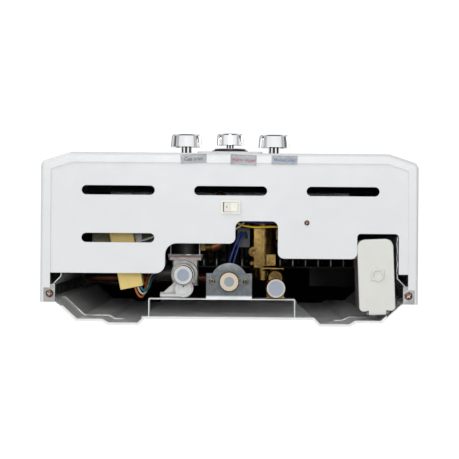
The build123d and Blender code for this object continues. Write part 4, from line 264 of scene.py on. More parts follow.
def metal(name, light, dark, rough=(0.2, 0.35), grain=400.0, depth=0.1, blotch=35.0):
    """Solid metal: tarnish in blotches, fine grain or casting skin."""
    material, tree, bsdf, where = shader(name)
    tarnish = spread(tree, noise(tree, where, blotch, 6.0, 0.62), 0.0, 1.0, 0.35, 0.68)
    tree.links.new(mix(tree, tarnish, light, dark), bsdf.inputs["Base Color"])
    tree.links.new(spread(tree, noise(tree, where, blotch * 3), *rough), bsdf.inputs["Roughness"])
    bsdf.inputs["Metallic"].default_value = 1.0
    bump(tree, bsdf, noise(tree, where, grain, 4.0, 0.6), depth, 0.0004)
    return material


def ringed(name, centre, radius, inner, outer, rough=(0.4, 0.55)):
    """A translucent cap seen end on: a cooler disc inside a lighter rim."""
    material, tree, bsdf, where = shader(name)
    offset = tree.nodes.new("ShaderNodeVectorMath")
    offset.operation = "SUBTRACT"
    offset.inputs[1].default_value = centre
    tree.links.new(where, offset.inputs[0])
    flat = tree.nodes.new("ShaderNodeVectorMath")
    flat.operation = "MULTIPLY"
    flat.inputs[1].default_value = (1.0, 1.0, 0.0)
    tree.links.new(offset.outputs["Vector"], flat.inputs[0])
    length = tree.nodes.new("ShaderNodeVectorMath")
    length.operation = "LENGTH"
    tree.links.new(flat.outputs["Vector"], length.inputs[0])
    edge = spread(tree, length.outputs["Value"], 0.0, 1.0, radius - 0.0003, radius + 0.0003)
    tree.links.new(mix(tree, edge, inner, outer), bsdf.inputs["Base Color"])
    tree.links.new(spread(tree, noise(tree, where, 200.0), *rough), bsdf.inputs["Roughness"])
    bsdf.inputs["Subsurface Weight"].default_value = 0.3
    bsdf.inputs["Subsurface Scale"].default_value = 0.002
    bump(tree, bsdf, noise(tree, where, 700.0, 3.0), 0.15, 0.0002)
    return material


def dusty(material):
    """A grey film over a sheet, brightest at grazing angles."""
    bsdf = material.node_tree.nodes["Principled BSDF"]
    bsdf.inputs["Sheen Weight"].default_value = 0.42
    bsdf.inputs["Sheen Roughness"].default_value = 0.4


def shaded_plate(material):
    """The bracket's sheet: painted light in front, painted shade behind, and a painted highlight
    along its folded edge.
    """
    tree = material.node_tree
    bsdf = tree.nodes["Principled BSDF"]
    behind = axes(tree, "Object")["Y"]
    # Painted shade towards the back, painted light at the front and a painted highlight along the
    # hat's folded edge.
    painted_rear_shade = spread(tree, behind, 0.0, 0.75, -0.070, -0.040)
    front = spread(tree, behind, 0.55, 0.0, -0.074, -0.060)
    edge = spread(tree, behind, 0.0, 0.8, -0.0335, -0.0315)
    tint = mix(tree, painted_rear_shade, linked(bsdf, "Base Color"), (0.09, 0.105, 0.115))
    tint = mix(tree, front, tint, (0.42, 0.45, 0.46))
    tree.links.new(mix(tree, edge, tint, (0.80, 0.83, 0.84)), bsdf.inputs["Base Color"])
    return material


def dark_behind(material, front):
    """Black behind the thin front lip of a ring."""
    tree = material.node_tree
    bsdf = tree.nodes["Principled BSDF"]
    lip = spread(tree, axes(tree, "Object")["Y"], 0.0, 1.0, front + 0.0005, front + 0.0008)
    ring = linked(bsdf, "Base Color")
    tree.links.new(mix(tree, lip, ring, (0.006, 0.006, 0.006)), bsdf.inputs["Base Color"])
    return material


WHITE = painted_shade_inside(painted("white_enamel", (0.63, 0.64, 0.65), (0.605, 0.615, 0.625)))
PANEL = painted("panel_enamel", (0.65, 0.665, 0.675), (0.625, 0.64, 0.65), (0.4, 0.55), 0.1)
ZINC = galvanised("galvanised_sheet", (0.44, 0.46, 0.46), (0.27, 0.29, 0.29))
# Near-white tints: painted light that brightens the pan's shaded inside walls.
PAN_ZINC_PAINTED_LIGHT = galvanised(
    "pan_sheet_painted_light",
    (0.93, 0.93, 0.90),
    (0.78, 0.79, 0.76),
    rough=(0.14, 0.24),
    crystals=60.0,
    stained=0.45,
    dents=0.004,
)
painted_shade_inside(outside_painted(PAN_ZINC_PAINTED_LIGHT))
dusty(PAN_ZINC_PAINTED_LIGHT)
PLATE_ZINC = shaded_plate(
    galvanised(
        "plate_sheet",
        (0.155, 0.172, 0.178),
        (0.105, 0.12, 0.125),
        rough=(0.42, 0.56),
        crystals=420.0,
        stained=0.5,
        metallic=0.3,
    )
)
BEAD_ZINC = metal(
    "bead_zinc", (0.80, 0.80, 0.78), (0.45, 0.45, 0.44), (0.3, 0.5), 400.0, 0.2, 60.0
)
# Near-white steel that stands in for glints on the burner blades: a painted highlight.
GLINT_STEEL = metal(
    "glint_steel", (0.95, 0.95, 0.92), (0.5, 0.5, 0.48), (0.35, 0.5), 400.0, 0.2, 200.0
)
CHROME = metal("chrome", (0.86, 0.87, 0.88), (0.80, 0.81, 0.83), (0.04, 0.09), 900.0, 0.01)
STEEL = metal("turned_steel", (0.52, 0.52, 0.52), (0.38, 0.38, 0.38), (0.25, 0.4), 700.0)
DARK_SCREW = metal(
    "bronzed_screw", (0.20, 0.13, 0.10), (0.035, 0.02, 0.014), (0.22, 0.4), 600.0, 0.2, 160.0
)
BRIGHT_SCREW = metal(
    "plated_screw", (0.34, 0.31, 0.23), (0.06, 0.055, 0.04), (0.2, 0.38), 600.0, 0.1, 160.0
)
# Painted highlight in the cross recesses of the case screws.
RECESS_HIGHLIGHT = metal(
    "recess_painted_highlight", (0.62, 0.50, 0.42), (0.20, 0.13, 0.10), (0.18, 0.4), 500.0, 0.2, 300.0
)
# Painted shade in the cross recesses of the plate screws.
RECESS_SHADE = metal(
    "recess_painted_shade", (0.10, 0.09, 0.07), (0.02, 0.018, 0.014), (0.4, 0.6), 500.0, 0.2, 300.0
)
CAST = metal(
    "die_casting", (0.50, 0.495, 0.48), (0.32, 0.315, 0.305), (0.45, 0.62), 380.0, 0.5, 55.0
)
CAP_CAST = moulded("pale_casting", (0.60, 0.605, 0.61), (0.50, 0.505, 0.51), (0.3, 0.45))
BRASS = metal(
    "cast_brass", (0.145, 0.096, 0.032), (0.032, 0.019, 0.007), (0.14, 0.32), 240.0, 0.6, 26.0
)
COPPER = metal("copper_tube", (0.60, 0.25, 0.10), (0.30, 0.11, 0.05), (0.25, 0.4), 500.0, 0.15)
DARK_COPPER = metal(
    "aged_copper", (0.13, 0.045, 0.03), (0.055, 0.025, 0.02), (0.35, 0.5), 500.0, 0.2
)
BURNER = metal("heated_steel", (0.045, 0.045, 0.045), (0.01, 0.01, 0.01), (0.45, 0.6), 300.0, 0.2)
CHAMBER = metal("chamber_sheet", (0.12, 0.085, 0.06), (0.05, 0.04, 0.03), (0.4, 0.6), 300.0, 0.2)
FASCIA = moulded("fascia_plastic", (0.62, 0.63, 0.64), (0.58, 0.59, 0.60), (0.3, 0.42))
RING_GREY = dark_behind(
    moulded("ring_plastic", (0.55, 0.50, 0.50), (0.48, 0.43, 0.43), (0.3, 0.42)),
    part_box("escutcheon_ring")[0].y,
)
DEEP_BLACK = moulded("deep_black", (0.006, 0.006, 0.006), (0.01, 0.01, 0.01), (0.55, 0.7))
BLACK = moulded("black_plastic", (0.014, 0.014, 0.015), (0.022, 0.022, 0.024), (0.35, 0.5))
IVORY = moulded(
    "ivory_plastic", (0.75, 0.735, 0.67), (0.72, 0.705, 0.64), (0.35, 0.45), 1200.0, 0.05, 0.05
)
DOT_RED = moulded("dot_red", (0.30, 0.03, 0.02), (0.22, 0.02, 0.015), (0.4, 0.5))
DOOR = moulded(
    "door_plastic", (0.625, 0.63, 0.595), (0.595, 0.60, 0.565), (0.45, 0.58), 1300.0, 0.1, 0.05
)
BOX = moulded("box_plastic", (0.20, 0.17, 0.165), (0.13, 0.11, 0.11), (0.45, 0.6))
TAN = moulded("tan_plastic", (0.80, 0.62, 0.21), (0.70, 0.53, 0.165), (0.5, 0.65), 700.0, 0.2)
GASKET = moulded("gasket_rubber", (0.52, 0.30, 0.27), (0.40, 0.22, 0.20), (0.6, 0.75))
GRIP = moulded("grip_rubber", (0.02, 0.02, 0.02), (0.035, 0.035, 0.035), (0.6, 0.75), 800.0, 0.3)
CERAMIC = moulded(
    "glazed_ceramic", (0.82, 0.80, 0.74), (0.74, 0.70, 0.62), (0.1, 0.2), 300.0, 0.03, 0.05
)
YELLOW = moulded("yellow_lead", (0.80, 0.50, 0.03), (0.70, 0.42, 0.02), (0.35, 0.45))
BLUE = moulded("blue_lead", (0.012, 0.035, 0.20), (0.008, 0.022, 0.12), (0.35, 0.45))
WHITE_LEAD = moulded("white_lead", (0.62, 0.62, 0.58), (0.52, 0.52, 0.48), (0.35, 0.45))
ORANGE = moulded("orange_lead", (0.62, 0.16, 0.02), (0.48, 0.11, 0.015), (0.35, 0.45))
TEAL = moulded("teal_lead", (0.02, 0.24, 0.33), (0.015, 0.17, 0.24), (0.35, 0.45))
GLASS = moulded(
    "display_glass", (0.012, 0.014, 0.016), (0.018, 0.02, 0.022), (0.05, 0.1), 300.0, 0.01
)

GAS_CAP = ringed(
    "gas_cap", place(-0.051, 0.136, 0), 0.0067, (0.27, 0.31, 0.37), (0.50, 0.51, 0.52)
)
OUTLET_CAP = ringed(
    "outlet_cap", place(0, 0.143, 0), 0.0055, (0.24, 0.275, 0.31), (0.55, 0.47, 0.37)
)
INLET_CAP = ringed(
    "inlet_cap", place(0.052, 0.150, 0), 0.0082, (0.29, 0.32, 0.39), (0.50, 0.47, 0.40)
)

finishes = {
    "front_cover": WHITE,
    "bottom_panel": PANEL,
    "back_panel": PAN_ZINC_PAINTED_LIGHT,
    "side_rails": ZINC,
    "case_screws": DARK_SCREW,
    "fascia_plate": FASCIA,
    "display_window": GLASS,
    "escutcheon": DEEP_BLACK,
    "escutcheon_ring": RING_GREY,
    "gas_knob": CHROME,
    "season_knob": CHROME,
    "water_knob": CHROME,
    "gas_shaft": STEEL,
    "season_shaft": STEEL,
    "water_shaft": STEEL,
    "season_selector": BLACK,
    "switch_housing": IVORY,
    "power_rocker": IVORY,
    "battery_box": BOX,
    "battery_contacts": STEEL,
    "battery_door": DOOR,
    "connector_bracket": PLATE_ZINC,
    "plate_screws": BRIGHT_SCREW,
    "gas_bonnet": BLACK,
    "valve_yoke": ZINC,
    "valve_gasket": GASKET,
    "valve_plate": CAST,
    "gas_valve_body": CAST,
    "gas_solenoid": BLACK,
    "gas_inlet_fitting": BRASS,
    "gas_plug": GAS_CAP,
    "gas_pipe": COPPER,
    "gas_union_nut": BRASS,
    "gas_rail": ZINC,
    "gas_nozzles": BRASS,
    "water_valve_body": BRASS,
    "water_inlet_fitting": BRASS,
    "inlet_plug": INLET_CAP,
    "flow_microswitch": BLACK,
    "cold_pipe": DARK_COPPER,
    "hot_pipe": DARK_COPPER,
    "outlet_fitting": BRASS,
    "outlet_plug": OUTLET_CAP,
    "burner_blades": BURNER,
    "burner_frame": BURNER,
    "burner_brackets": ZINC,
    "combustion_chamber": CHAMBER,
    "electrodes": CERAMIC,
    "heat_exchanger": COPPER,
    "flue_collector": ZINC,
    "flue_hood": ZINC,
    "ignition_controller": TAN,
    "controller_bracket": ZINC,
    "handle_bail": CHROME,
    "handle_grip": GRIP,
    "handle_brackets": ZINC,
    "lead_yellow": YELLOW,
    "lead_blue": BLUE,
    "lead_white": WHITE_LEAD,
    "leads_controller": ORANGE,
}
for name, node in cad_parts.items():
    node.data.materials.clear()
    node.data.materials.append(finishes[name])


# ------------------------------------------------------------------ forms and pieces

def mesh_of(name, form):
    """A mesh from a finished form."""
    mesh = bpy.data.meshes.new(name)
    form.to_mesh(mesh)
    form.free()
    return mesh


def piece(name, mesh, materials, body="case"):
    """A piece with its materials, on its body."""
    for material in materials:
        mesh.materials.append(material)
    made = bpy.data.objects.new(name, mesh)
    bpy.context.scene.collection.objects.link(made)
    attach(made, body)
    return made


def finish_form(name, form, materials, body="case"):
    """A piece from a finished form, with its faces turned outwards."""
    bmesh.ops.recalc_face_normals(form, faces=form.faces)
    return piece(name, mesh_of(name, form), materials, body)


def circle(form, centre, radius, steps, turn=0.0):
    """A level ring of corners round a centre."""
    angles = [2 * math.pi * k / steps + turn for k in range(steps)]
    return [
        form.verts.new(centre + Vector((radius * math.cos(angle), radius * math.sin(angle), 0)))
        for angle in angles
    ]


def skin(form, one, two, smooth=True):
    """A band of faces between two rings of corners."""
    faces = []
    for k in range(len(one)):
        after = (k + 1) % len(one)
        faces.append(form.faces.new((one[k], two[k], two[after], one[after])))
        faces[-1].smooth = smooth
    return faces


def closed(form, rings, smooth=True):
    """Bands between the rings and a flat face over each end."""
    faces = []
    for one, two in zip(rings, rings[1:]):
        faces += skin(form, one, two, smooth)
    return faces + [form.faces.new(rings[0]), form.faces.new(rings[-1])]


def rod(form, points, radii, steps=20):
    """A closed round bar through the points, each with its own radius."""
    rings = []
    for i, point in enumerate(points):
        ahead = (points[min(i + 1, len(points) - 1)] - points[max(i - 1, 0)]).normalized()
        side = ahead.cross(Vector((0, 0, 1)))
        side = side.normalized() if side.length > 1e-6 else Vector((1, 0, 0))
        up = side.cross(ahead)
        rings.append([
            form.verts.new(
                point
                + side * (radii[i] * math.cos(2 * math.pi * j / steps))
                + up * (radii[i] * math.sin(2 * math.pi * j / steps))
            )
            for j in range(steps)
        ])
    closed(form, rings)


def tapered(radius, count, start, step):
    """The radii of a bar of this many steps that thins out towards both ends."""
    return [radius * min(1.0, start + step * min(i, count - i)) for i in range(count + 1)]


def along(line, count):
    """Evenly spaced points on a polyline, with its corners softened."""
    lengths = [(b - a).length for a, b in zip(line, line[1:])]
    total = sum(lengths)
    points = []
    for i in range(count + 1):
        left = total * i / count
        for (a, b), length in zip(zip(line, line[1:]), lengths):
            if left <= length or b is line[-1]:
                points.append(a.lerp(b, min(1.0, left / length)))
                break
            left -= length
    for _ in range(3):
        points = [points[0]] + [
            (points[i - 1] + points[i] * 2 + points[i + 1]) / 4 for i in range(1, count)
        ] + [points[-1]]
    return points


def islands(name):
    """The separate solids of a CAD node, each as a list of corners and a list of faces."""
    form = bmesh.new()
    form.from_mesh(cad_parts[name].data)
    bmesh.ops.remove_doubles(form, verts=form.verts, dist=1e-7)
    form.verts.ensure_lookup_table()
    form.verts.index_update()
    seen = [False] * len(form.verts)
    found = []
    for start in form.verts:
        if seen[start.index]:
            continue
        seen[start.index] = True
        group = [start]
        for vert in group:
            for edge in vert.link_edges:
                other = edge.other_vert(vert)
                if not seen[other.index]:
                    seen[other.index] = True
                    group.append(other)
        order = {vert.index: i for i, vert in enumerate(group)}
        faces = [
            [order[vert.index] for vert in face.verts]
            for face in form.faces
            if face.verts[0].index in order
        ]
        found.append(([vert.co.copy() for vert in group], faces))
    form.free()
    return found


# ------------------------------------------------------------------ stickers on the front edge

FOLD = 0.0034
STICKER_LIFT = 0.00008
STICKER_WIDTH = 0.0290
STICKER_STEPS = 24
# Where the sides start to draw in, as a share of the half length, and how far they do
CORNER_START = 0.88
CORNER_DRAW = 0.035


def edge_height(depth):
    """The underside's height this far behind the front, round the fold and along the flange."""
    if depth < FOLD:
        return FOLD - math.sqrt(FOLD**2 - (FOLD - depth) ** 2)
    return 0.0


def sticker(name, x, depth, length, turn):
    """A foil sticker that follows the folded edge, with a thin rounded outline."""
    form = bmesh.new()
    rows = []
    for j in range(STICKER_STEPS + 1):
        row = []
        for i in range(STICKER_STEPS + 1):
            u = (i / STICKER_STEPS - 0.5) * STICKER_WIDTH
            v = (j / STICKER_STEPS - 0.5) * length
            inset = max(0.0, abs(v) / (length / 2) - CORNER_START) / (1.0 - CORNER_START)
            u *= 1.0 - CORNER_DRAW * inset**2
            side = x + u * math.cos(turn) - v * math.sin(turn)
            behind = depth + u * math.sin(turn) + v * math.cos(turn)
            height = edge_height(max(behind, 0.0)) - STICKER_LIFT
            row.append(form.verts.new(place(side, behind, height)))
        rows.append(row)
    for one, two in zip(rows, rows[1:]):
        for i in range(STICKER_STEPS):
            form.faces.new((one[i], one[i + 1], two[i + 1], two[i]))
    finish_form(name, form, [FOIL])


def words(name, text, x, depth, turn, size, ink):
    """Thin printed words on the lower side of a sticker, read from below."""
    curve = bpy.data.curves.new(name, "FONT")
    curve.body = text
    curve.size = size
    curve.align_x = "CENTER"
    curve.align_y = "CENTER"
    curve.extrude = 0.00002
    curve.materials.append(ink)
    made = bpy.data.objects.new(name, curve)
    bpy.context.scene.collection.objects.link(made)
    made.matrix_world = Matrix.Translation(place(x, depth, -2.5 * STICKER_LIFT)) @ (
        look_up @ Matrix.Rotation(-turn, 3, "Z")
    ).to_4x4()
    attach(made, "case")


FOIL = metal("foil", (0.36, 0.375, 0.39), (0.30, 0.315, 0.33), (0.5, 0.65), 900.0, 0.1, 120.0)
INK_BLACK = moulded("black_ink", (0.03, 0.03, 0.03), (0.05, 0.05, 0.05), (0.5, 0.6))
INK_RED = moulded("red_ink", (0.45, 0.03, 0.04), (0.38, 0.025, 0.03), (0.5, 0.6))
INK_BLUE = moulded("blue_ink", (0.04, 0.14, 0.45), (0.03, 0.11, 0.38), (0.5, 0.6))
sticker("sticker_gas", -0.0405, 0.0066, 0.0100, math.radians(-2.0))
sticker("sticker_outlet", 0.0150, 0.0074, 0.0112, math.radians(2.0))
sticker("sticker_inlet", 0.0606, 0.0073, 0.0098, math.radians(0.5))
words("words_gas", "Gas inlet", -0.0405, 0.0070, math.radians(-2.0), 0.0058, INK_BLACK)
words("words_outlet", "Water outlet", 0.0150, 0.0078, math.radians(2.0), 0.0050, INK_RED)
words("words_inlet", "Water inlet", 0.0606, 0.0076, math.radians(0.5), 0.0052, INK_BLUE)


# ------------------------------------------------------------------ screw heads

HEAD_STEPS = 56
HEAD_RINGS = 22
# Shares of the head's radius, and then of its height
SLOT = 0.13
SLOT_REACH = 0.58
SHANK = 0.42
DOME = 0.62
RECESS = 0.55


def screw(form, low, high, height, turn):
    """A domed screw head with a cross recess, and its shank, in the place of one CAD solid."""
    radius = (high.x - low.x) / 2
    foot = Vector(((low.x + high.x) / 2, (low.y + high.y) / 2, low.z))
    slot = SLOT * radius
    rings = []
    for j in range(1, HEAD_RINGS + 1):
        share = j / HEAD_RINGS
        ring = circle(form, foot, share * radius, HEAD_STEPS, turn)
        for k, vert in enumerate(ring):
            angle = 2 * math.pi * k / HEAD_STEPS
            sides = sorted((abs(math.cos(angle)), abs(math.sin(angle))))
            near, arm = (share * radius * side for side in sides)
            vert.co.z += DOME * height * share**2.4
            if arm < SLOT_REACH * radius and near < 1.6 * slot:
                depth = min(1.0, (1.6 * slot - near) / (0.8 * slot))
                vert.co.z += RECESS * height * depth * (1 - share)
        rings.append(ring)
    for reach, level in ((1.0, height), (SHANK + 0.03, height), (SHANK, high.z - low.z)):
        centre = foot + Vector((0, 0, level))
        rings.append(circle(form, centre, reach * radius, HEAD_STEPS, turn))
    for face in closed(form, rings):
        spot = face.calc_center_median() - foot
        u = abs(spot.x * math.cos(turn) + spot.y * math.sin(turn))
        v = abs(spot.y * math.cos(turn) - spot.x * math.sin(turn))
        # Faces in the cross recess take the set's second material: a painted highlight on the case
        # screws and painted shade on the plate screws.
        if min(u, v) < 1.5 * slot and max(u, v) < 0.6 * radius and spot.z < height:
            face.material_index = 1


def screw_set(name, node, height, turns, materials):
    """Screws in the place of a CAD node's plain ones, each cross at its own angle."""
    form = bmesh.new()
    for (points, _), turn in zip(islands(node), turns):
        low = Vector([min(point[i] for point in points) for i in range(3)])
        high = Vector([max(point[i] for point in points) for i in range(3)])
        screw(form, low, high, height, turn)
    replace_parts(finish_form(name, form, materials), node)


screw_set(
    "case_screw_heads", "case_screws", 0.0022, (0.4, 0.9, 0.2), [DARK_SCREW, RECESS_HIGHLIGHT]
)
screw_set(
    "plate_screw_heads",
    "plate_screws",
    0.0016,
    (0.5, 1.0),
    [BRIGHT_SCREW, RECESS_SHADE],
)


# ------------------------------------------------------------------ rocker dot

DOT_BELOW = place(-0.0034, 0.0600, -0.02)
DOT_RADIUS = 0.0009
DOT_ROOT = 0.00015
DOT_DROP = 0.00035
DOT_RINGS = 6
DOT_STEPS = 32


def rocker_dot():
    """A small red dot where a line straight up meets the rocker's lower face."""
    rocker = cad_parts["power_rocker"].data
    surface = BVHTree.FromPolygons(
        [vert.co.copy() for vert in rocker.vertices],
        [list(face.vertices) for face in rocker.polygons],
    )
    spot = surface.ray_cast(DOT_BELOW, Vector((0, 0, 1)))[0]
    form = bmesh.new()
    rings = []
    for j in range(DOT_RINGS):
        bend = 0.5 * math.pi * j / DOT_RINGS
        centre = spot + Vector((0, 0, DOT_ROOT - DOT_DROP * math.sin(bend)))
        rings.append(circle(form, centre, DOT_RADIUS * math.cos(bend), DOT_STEPS))
    closed(form, rings)
    finish_form("rocker_dot", form, [DOT_RED], "switch_rocker")


rocker_dot()


# ------------------------------------------------------------------ pan beads, hooks and leads

BEAD_HEIGHT = 0.115
BEAD_RADIUS = 0.0011
BEAD_STEPS = 90
# Distance from the middle plane and depth, from outside the slant to the back of the rib
BEAD_ROUTE = (
    (0.1998, 0.1655),
    (0.1918, 0.1656),
    (0.1692, 0.1866),
    (0.1405, 0.1866),
    (0.1335, 0.1906),
    (0.1220, 0.1906),
)
for side, tag in ((-1, "left"), (1, "right")):
    bead = bmesh.new()
    route = [place(side * x, depth, BEAD_HEIGHT) for x, depth in BEAD_ROUTE]
    rod(bead, along(route, BEAD_STEPS), tapered(BEAD_RADIUS, BEAD_STEPS, 0.2, 0.2))
    finish_form("pan_bead_" + tag, bead, [BEAD_ZINC])

BLADES = 19
BLADE_PITCH = 0.0153
HOOK_BEHIND = 0.0600
HOOK_LENGTH = 0.0088
HOOK_RADIUS = 0.0004
HOOK_GAP = 0.0002
HOOK_STEPS = 14


def burner_glint_hooks():
    """A short hook under each burner blade, thickest in its middle, in near-white steel: a painted
    highlight for the glint on the blade's edge.
    """
    blade_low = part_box("burner_blades")[0]
    form = bmesh.new()
    for i in range(BLADES):
        x = (i - (BLADES - 1) / 2) * BLADE_PITCH
        run = []
        radii = []
        for k in range(HOOK_STEPS + 1):
            share = k / HOOK_STEPS
            swell = HOOK_RADIUS * math.sin(math.pi * share)
            behind = HOOK_BEHIND + HOOK_LENGTH * share
            run.append(Vector((x, blade_low.y + behind, blade_low.z - HOOK_GAP - swell)))
            radii.append(HOOK_RADIUS + swell)
        rod(form, run, radii, 12)
    finish_form("burner_glint_hooks", form, [GLINT_STEEL])


burner_glint_hooks()

strands = sorted(
    islands("leads_controller"), key=lambda strand: min(point.x for point in strand[0])
)
for name, (points, faces), material in zip(
    ("strand_orange", "strand_white", "strand_teal"), strands, (ORANGE, WHITE_LEAD, TEAL)
):
    mesh = bpy.data.meshes.new(name)
    mesh.from_pydata(points, [], faces)
    mesh.shade_smooth()
    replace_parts(piece(name, mesh, [material]), "leads_controller")


# ------------------------------------------------------------------ door ring

DOOR_SKEW = math.radians(2.4)
DOOR_X = 0.1635
DOOR_DEPTH = 0.1345
RING_X = 0.0015
RING_RADIUS = 0.0060
RING_HALF_WIDTH = 0.0016
RING_LIFT = 0.0017
RING_ROOT = 0.0008
LUG_ANGLE = 2.5
RING_AROUND = 72
RING_SECTION = 16


def door_spot(u, v, height):
    """A point on the battery door, from its middle, along and across its skewed edges."""
    return place(
        DOOR_X + u * math.cos(DOOR_SKEW) + v * math.sin(DOOR_SKEW),
        DOOR_DEPTH - u * math.sin(DOOR_SKEW) + v * math.cos(DOOR_SKEW),
        height,
    )


def door_ring():
    """A raised finger ring on the door, with a lug on each side."""
    form = bmesh.new()
    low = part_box("battery_door")[0].z + HALF_HEIGHT + RING_ROOT
    rings = []
    for k in range(RING_AROUND):
        angle = 2 * math.pi * k / RING_AROUND
        lug = max(0.0, math.cos(2 * (angle - LUG_ANGLE))) ** 14
        ring = []
        for j in range(RING_SECTION):
            bend = 2 * math.pi * j / RING_SECTION
            widened = 1 + 1.3 * lug * (math.cos(bend) > 0)
            reach = RING_RADIUS + RING_HALF_WIDTH * math.cos(bend) * widened
            lift = RING_LIFT * math.sin(bend) * (1 - 0.3 * lug)
            spot = door_spot(RING_X + reach * math.cos(angle), reach * math.sin(angle), low - lift)
            ring.append(form.verts.new(spot))
        rings.append(ring)
    for k in range(RING_AROUND):
        skin(form, rings[k], rings[(k + 1) % RING_AROUND])
    finish_form("door_ring", form, [DOOR], "compartment_door")


door_ring()


# ------------------------------------------------------------------ threads and gas valve

# G1/2 is cut 14 to the inch
THREAD_PITCH = 0.001814
THREAD_TURNS = 6.8
THREAD_RADIUS = 0.01042
THREAD_RIDGE = 0.00042
THREAD_END = -HALF_HEIGHT - 0.0046
TURN_STEPS = 40
THREAD_COUNT = int(THREAD_TURNS * TURN_STEPS)


def thread(plug):
    """The outer thread of the connection that a dust plug closes, wound up from its end."""
    low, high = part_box(plug)
    end = Vector(((low.x + high.x) / 2, (low.y + high.y) / 2, THREAD_END))
    run = []
    for k in range(THREAD_COUNT + 1):
        turns = k / TURN_STEPS
        x = THREAD_RADIUS * math.cos(2 * math.pi * turns)
        y = THREAD_RADIUS * math.sin(2 * math.pi * turns)
        run.append(end + Vector((x, y, THREAD_PITCH * turns)))
    form = bmesh.new()
    rod(form, run, tapered(THREAD_RIDGE, THREAD_COUNT, 0.15, 0.05), 10)
    finish_form(plug.replace("plug", "thread"), form, [BRASS])


for plug in ("gas_plug", "outlet_plug", "inlet_plug"):
    thread(plug)

VALVE_X = -0.0510
VALVE_DEPTH = 0.1520
VALVE_CAP_LEVEL = 0.0152
FACETS = 12
CAP_STEPS = 96
# Radius, and drop below the cap's level
CAP_PROFILE = (
    (0.0098, 0.0),
    (0.0098, 0.0012),
    (0.0088, 0.0020),
    (0.0062, 0.0020),
    (0.0058, 0.0014),
    (0.0016, 0.0013),
)


def valve_cap():
    """The valve's lower cap: a faceted disc with a sunk middle."""
    form = bmesh.new()
    rings = []
    for radius, drop in CAP_PROFILE:
        ring = []
        for k in range(CAP_STEPS):
            angle = 2 * math.pi * k / CAP_STEPS
            reach = radius * (1 + 0.012 * math.cos(FACETS * angle))
            x = VALVE_X + reach * math.cos(angle)
            depth = VALVE_DEPTH + reach * math.sin(angle)
            ring.append(form.verts.new(place(x, depth, VALVE_CAP_LEVEL - drop)))
        rings.append(ring)
    closed(form, rings, smooth=False)
    finish_form("valve_lower_cap", form, [CAP_CAST])


valve_cap()

# A black stub in the cap's sunk middle: painted shade for a small hole.
HOLE_DEPTH = 0.1490
HOLE_PROFILE = ((0.0007, 0.0), (0.0007, 0.0014), (0.0007, 0.00215), (0.0004, 0.0022))
hole = bmesh.new()
rod(
    hole,
    [place(VALVE_X, HOLE_DEPTH, VALVE_CAP_LEVEL - drop) for _, drop in HOLE_PROFILE],
    [radius for radius, _ in HOLE_PROFILE],
    24,
)
finish_form("valve_hole_painted_shade", hole, [DEEP_BLACK])

BAR_LEFT = -0.0772
BAR_LENGTH = 0.0270
BAR_DEPTH = 0.1590
BAR_LEVEL = 0.0150
BAR_RADIUS = 0.0021
BAR_STEPS = 30
bar = bmesh.new()
rod(
    bar,
    [
        place(BAR_LEFT + BAR_LENGTH * k / BAR_STEPS, BAR_DEPTH, BAR_LEVEL)
        for k in range(BAR_STEPS + 1)
    ],
    tapered(BAR_RADIUS, BAR_STEPS, 0.75, 0.08),
    24,
)
finish_form("valve_foot_bar", bar, [CAP_CAST])


# ------------------------------------------------------------------ circuit boards

BOARD_TOP = 0.0639
BOARD_SHEET = 0.0014
BOARD_FRONT = 0.0845
BOARD_REAR = 0.1300
# Places in a board's list of materials
SOLDERED = 1
COLOURED = 2


def board(name, left, right, material, parts):
    """A circuit board over the igniter block, with solder joints and parts on its lower side."""
    form = bmesh.new()
    corners = [
        (left, BOARD_FRONT), (right, BOARD_FRONT), (right, BOARD_REAR), (left, BOARD_REAR)
    ]
    low = [form.verts.new(place(x, depth, BOARD_TOP - BOARD_SHEET)) for x, depth in corners]
    high = [form.verts.new(place(x, depth, BOARD_TOP)) for x, depth in corners]
    closed(form, [low, high], smooth=False)
    bmesh.ops.bevel(form, geom=list(form.edges), offset=0.0002, segments=2, affect="EDGES")
    for x, depth, radius, index in parts:
        spot = Matrix.Translation(place(x, depth, BOARD_TOP - BOARD_SHEET))
        made = bmesh.ops.create_uvsphere(
            form, u_segments=14, v_segments=8, radius=radius, matrix=spot
        )
        for vert in made["verts"]:
            for face in vert.link_faces:
                face.material_index = index
                face.smooth = True
    finish_form(name, form, [material, SOLDER, PART_RED])


BOARD_OLIVE = moulded(
    "olive_board", (0.17, 0.155, 0.06), (0.10, 0.095, 0.035), (0.35, 0.5), 500.0, 0.1
)
BOARD_GREEN = moulded(
    "green_board", (0.055, 0.06, 0.03), (0.03, 0.035, 0.02), (0.35, 0.5), 500.0, 0.1
)
SOLDER = metal("solder", (0.55, 0.55, 0.52), (0.35, 0.35, 0.33), (0.3, 0.45), 600.0)
PART_RED = moulded("red_part", (0.40, 0.04, 0.02), (0.30, 0.03, 0.02), (0.35, 0.5))
board(
    "board_left", -0.157, -0.1315, BOARD_OLIVE,
    [(-0.1535 + 0.0045 * i, 0.098 + 0.007 * (i % 3), 0.0008, SOLDERED) for i in range(5)],
)
board(
    "board_right", -0.1005, -0.0865, BOARD_GREEN,
    [(-0.0975 + 0.0035 * i, 0.100 + 0.005 * (i % 2), 0.0007, SOLDERED) for i in range(3)]
    + [(-0.0950, 0.0985, 0.0013, COLOURED)],
)


# ------------------------------------------------------------------ knobs

KNOB_LEVEL = 0.100
KNOB_SPACING = 0.051
LATHE_STEPS = 128
FLUTES = 8
FLUTE_STEPS = LATHE_STEPS // FLUTES
FLUTE_DEPTH = 0.0012
# The fluted rows of both profiles
HUB_ROWS = (10, 11)
CREASE = math.radians(22)


def in_flute(k):
    """Whether this step round the hub lies in a flute, which takes half of each division."""
    return (k + FLUTE_STEPS // 4) % FLUTE_STEPS < FLUTE_STEPS // 2


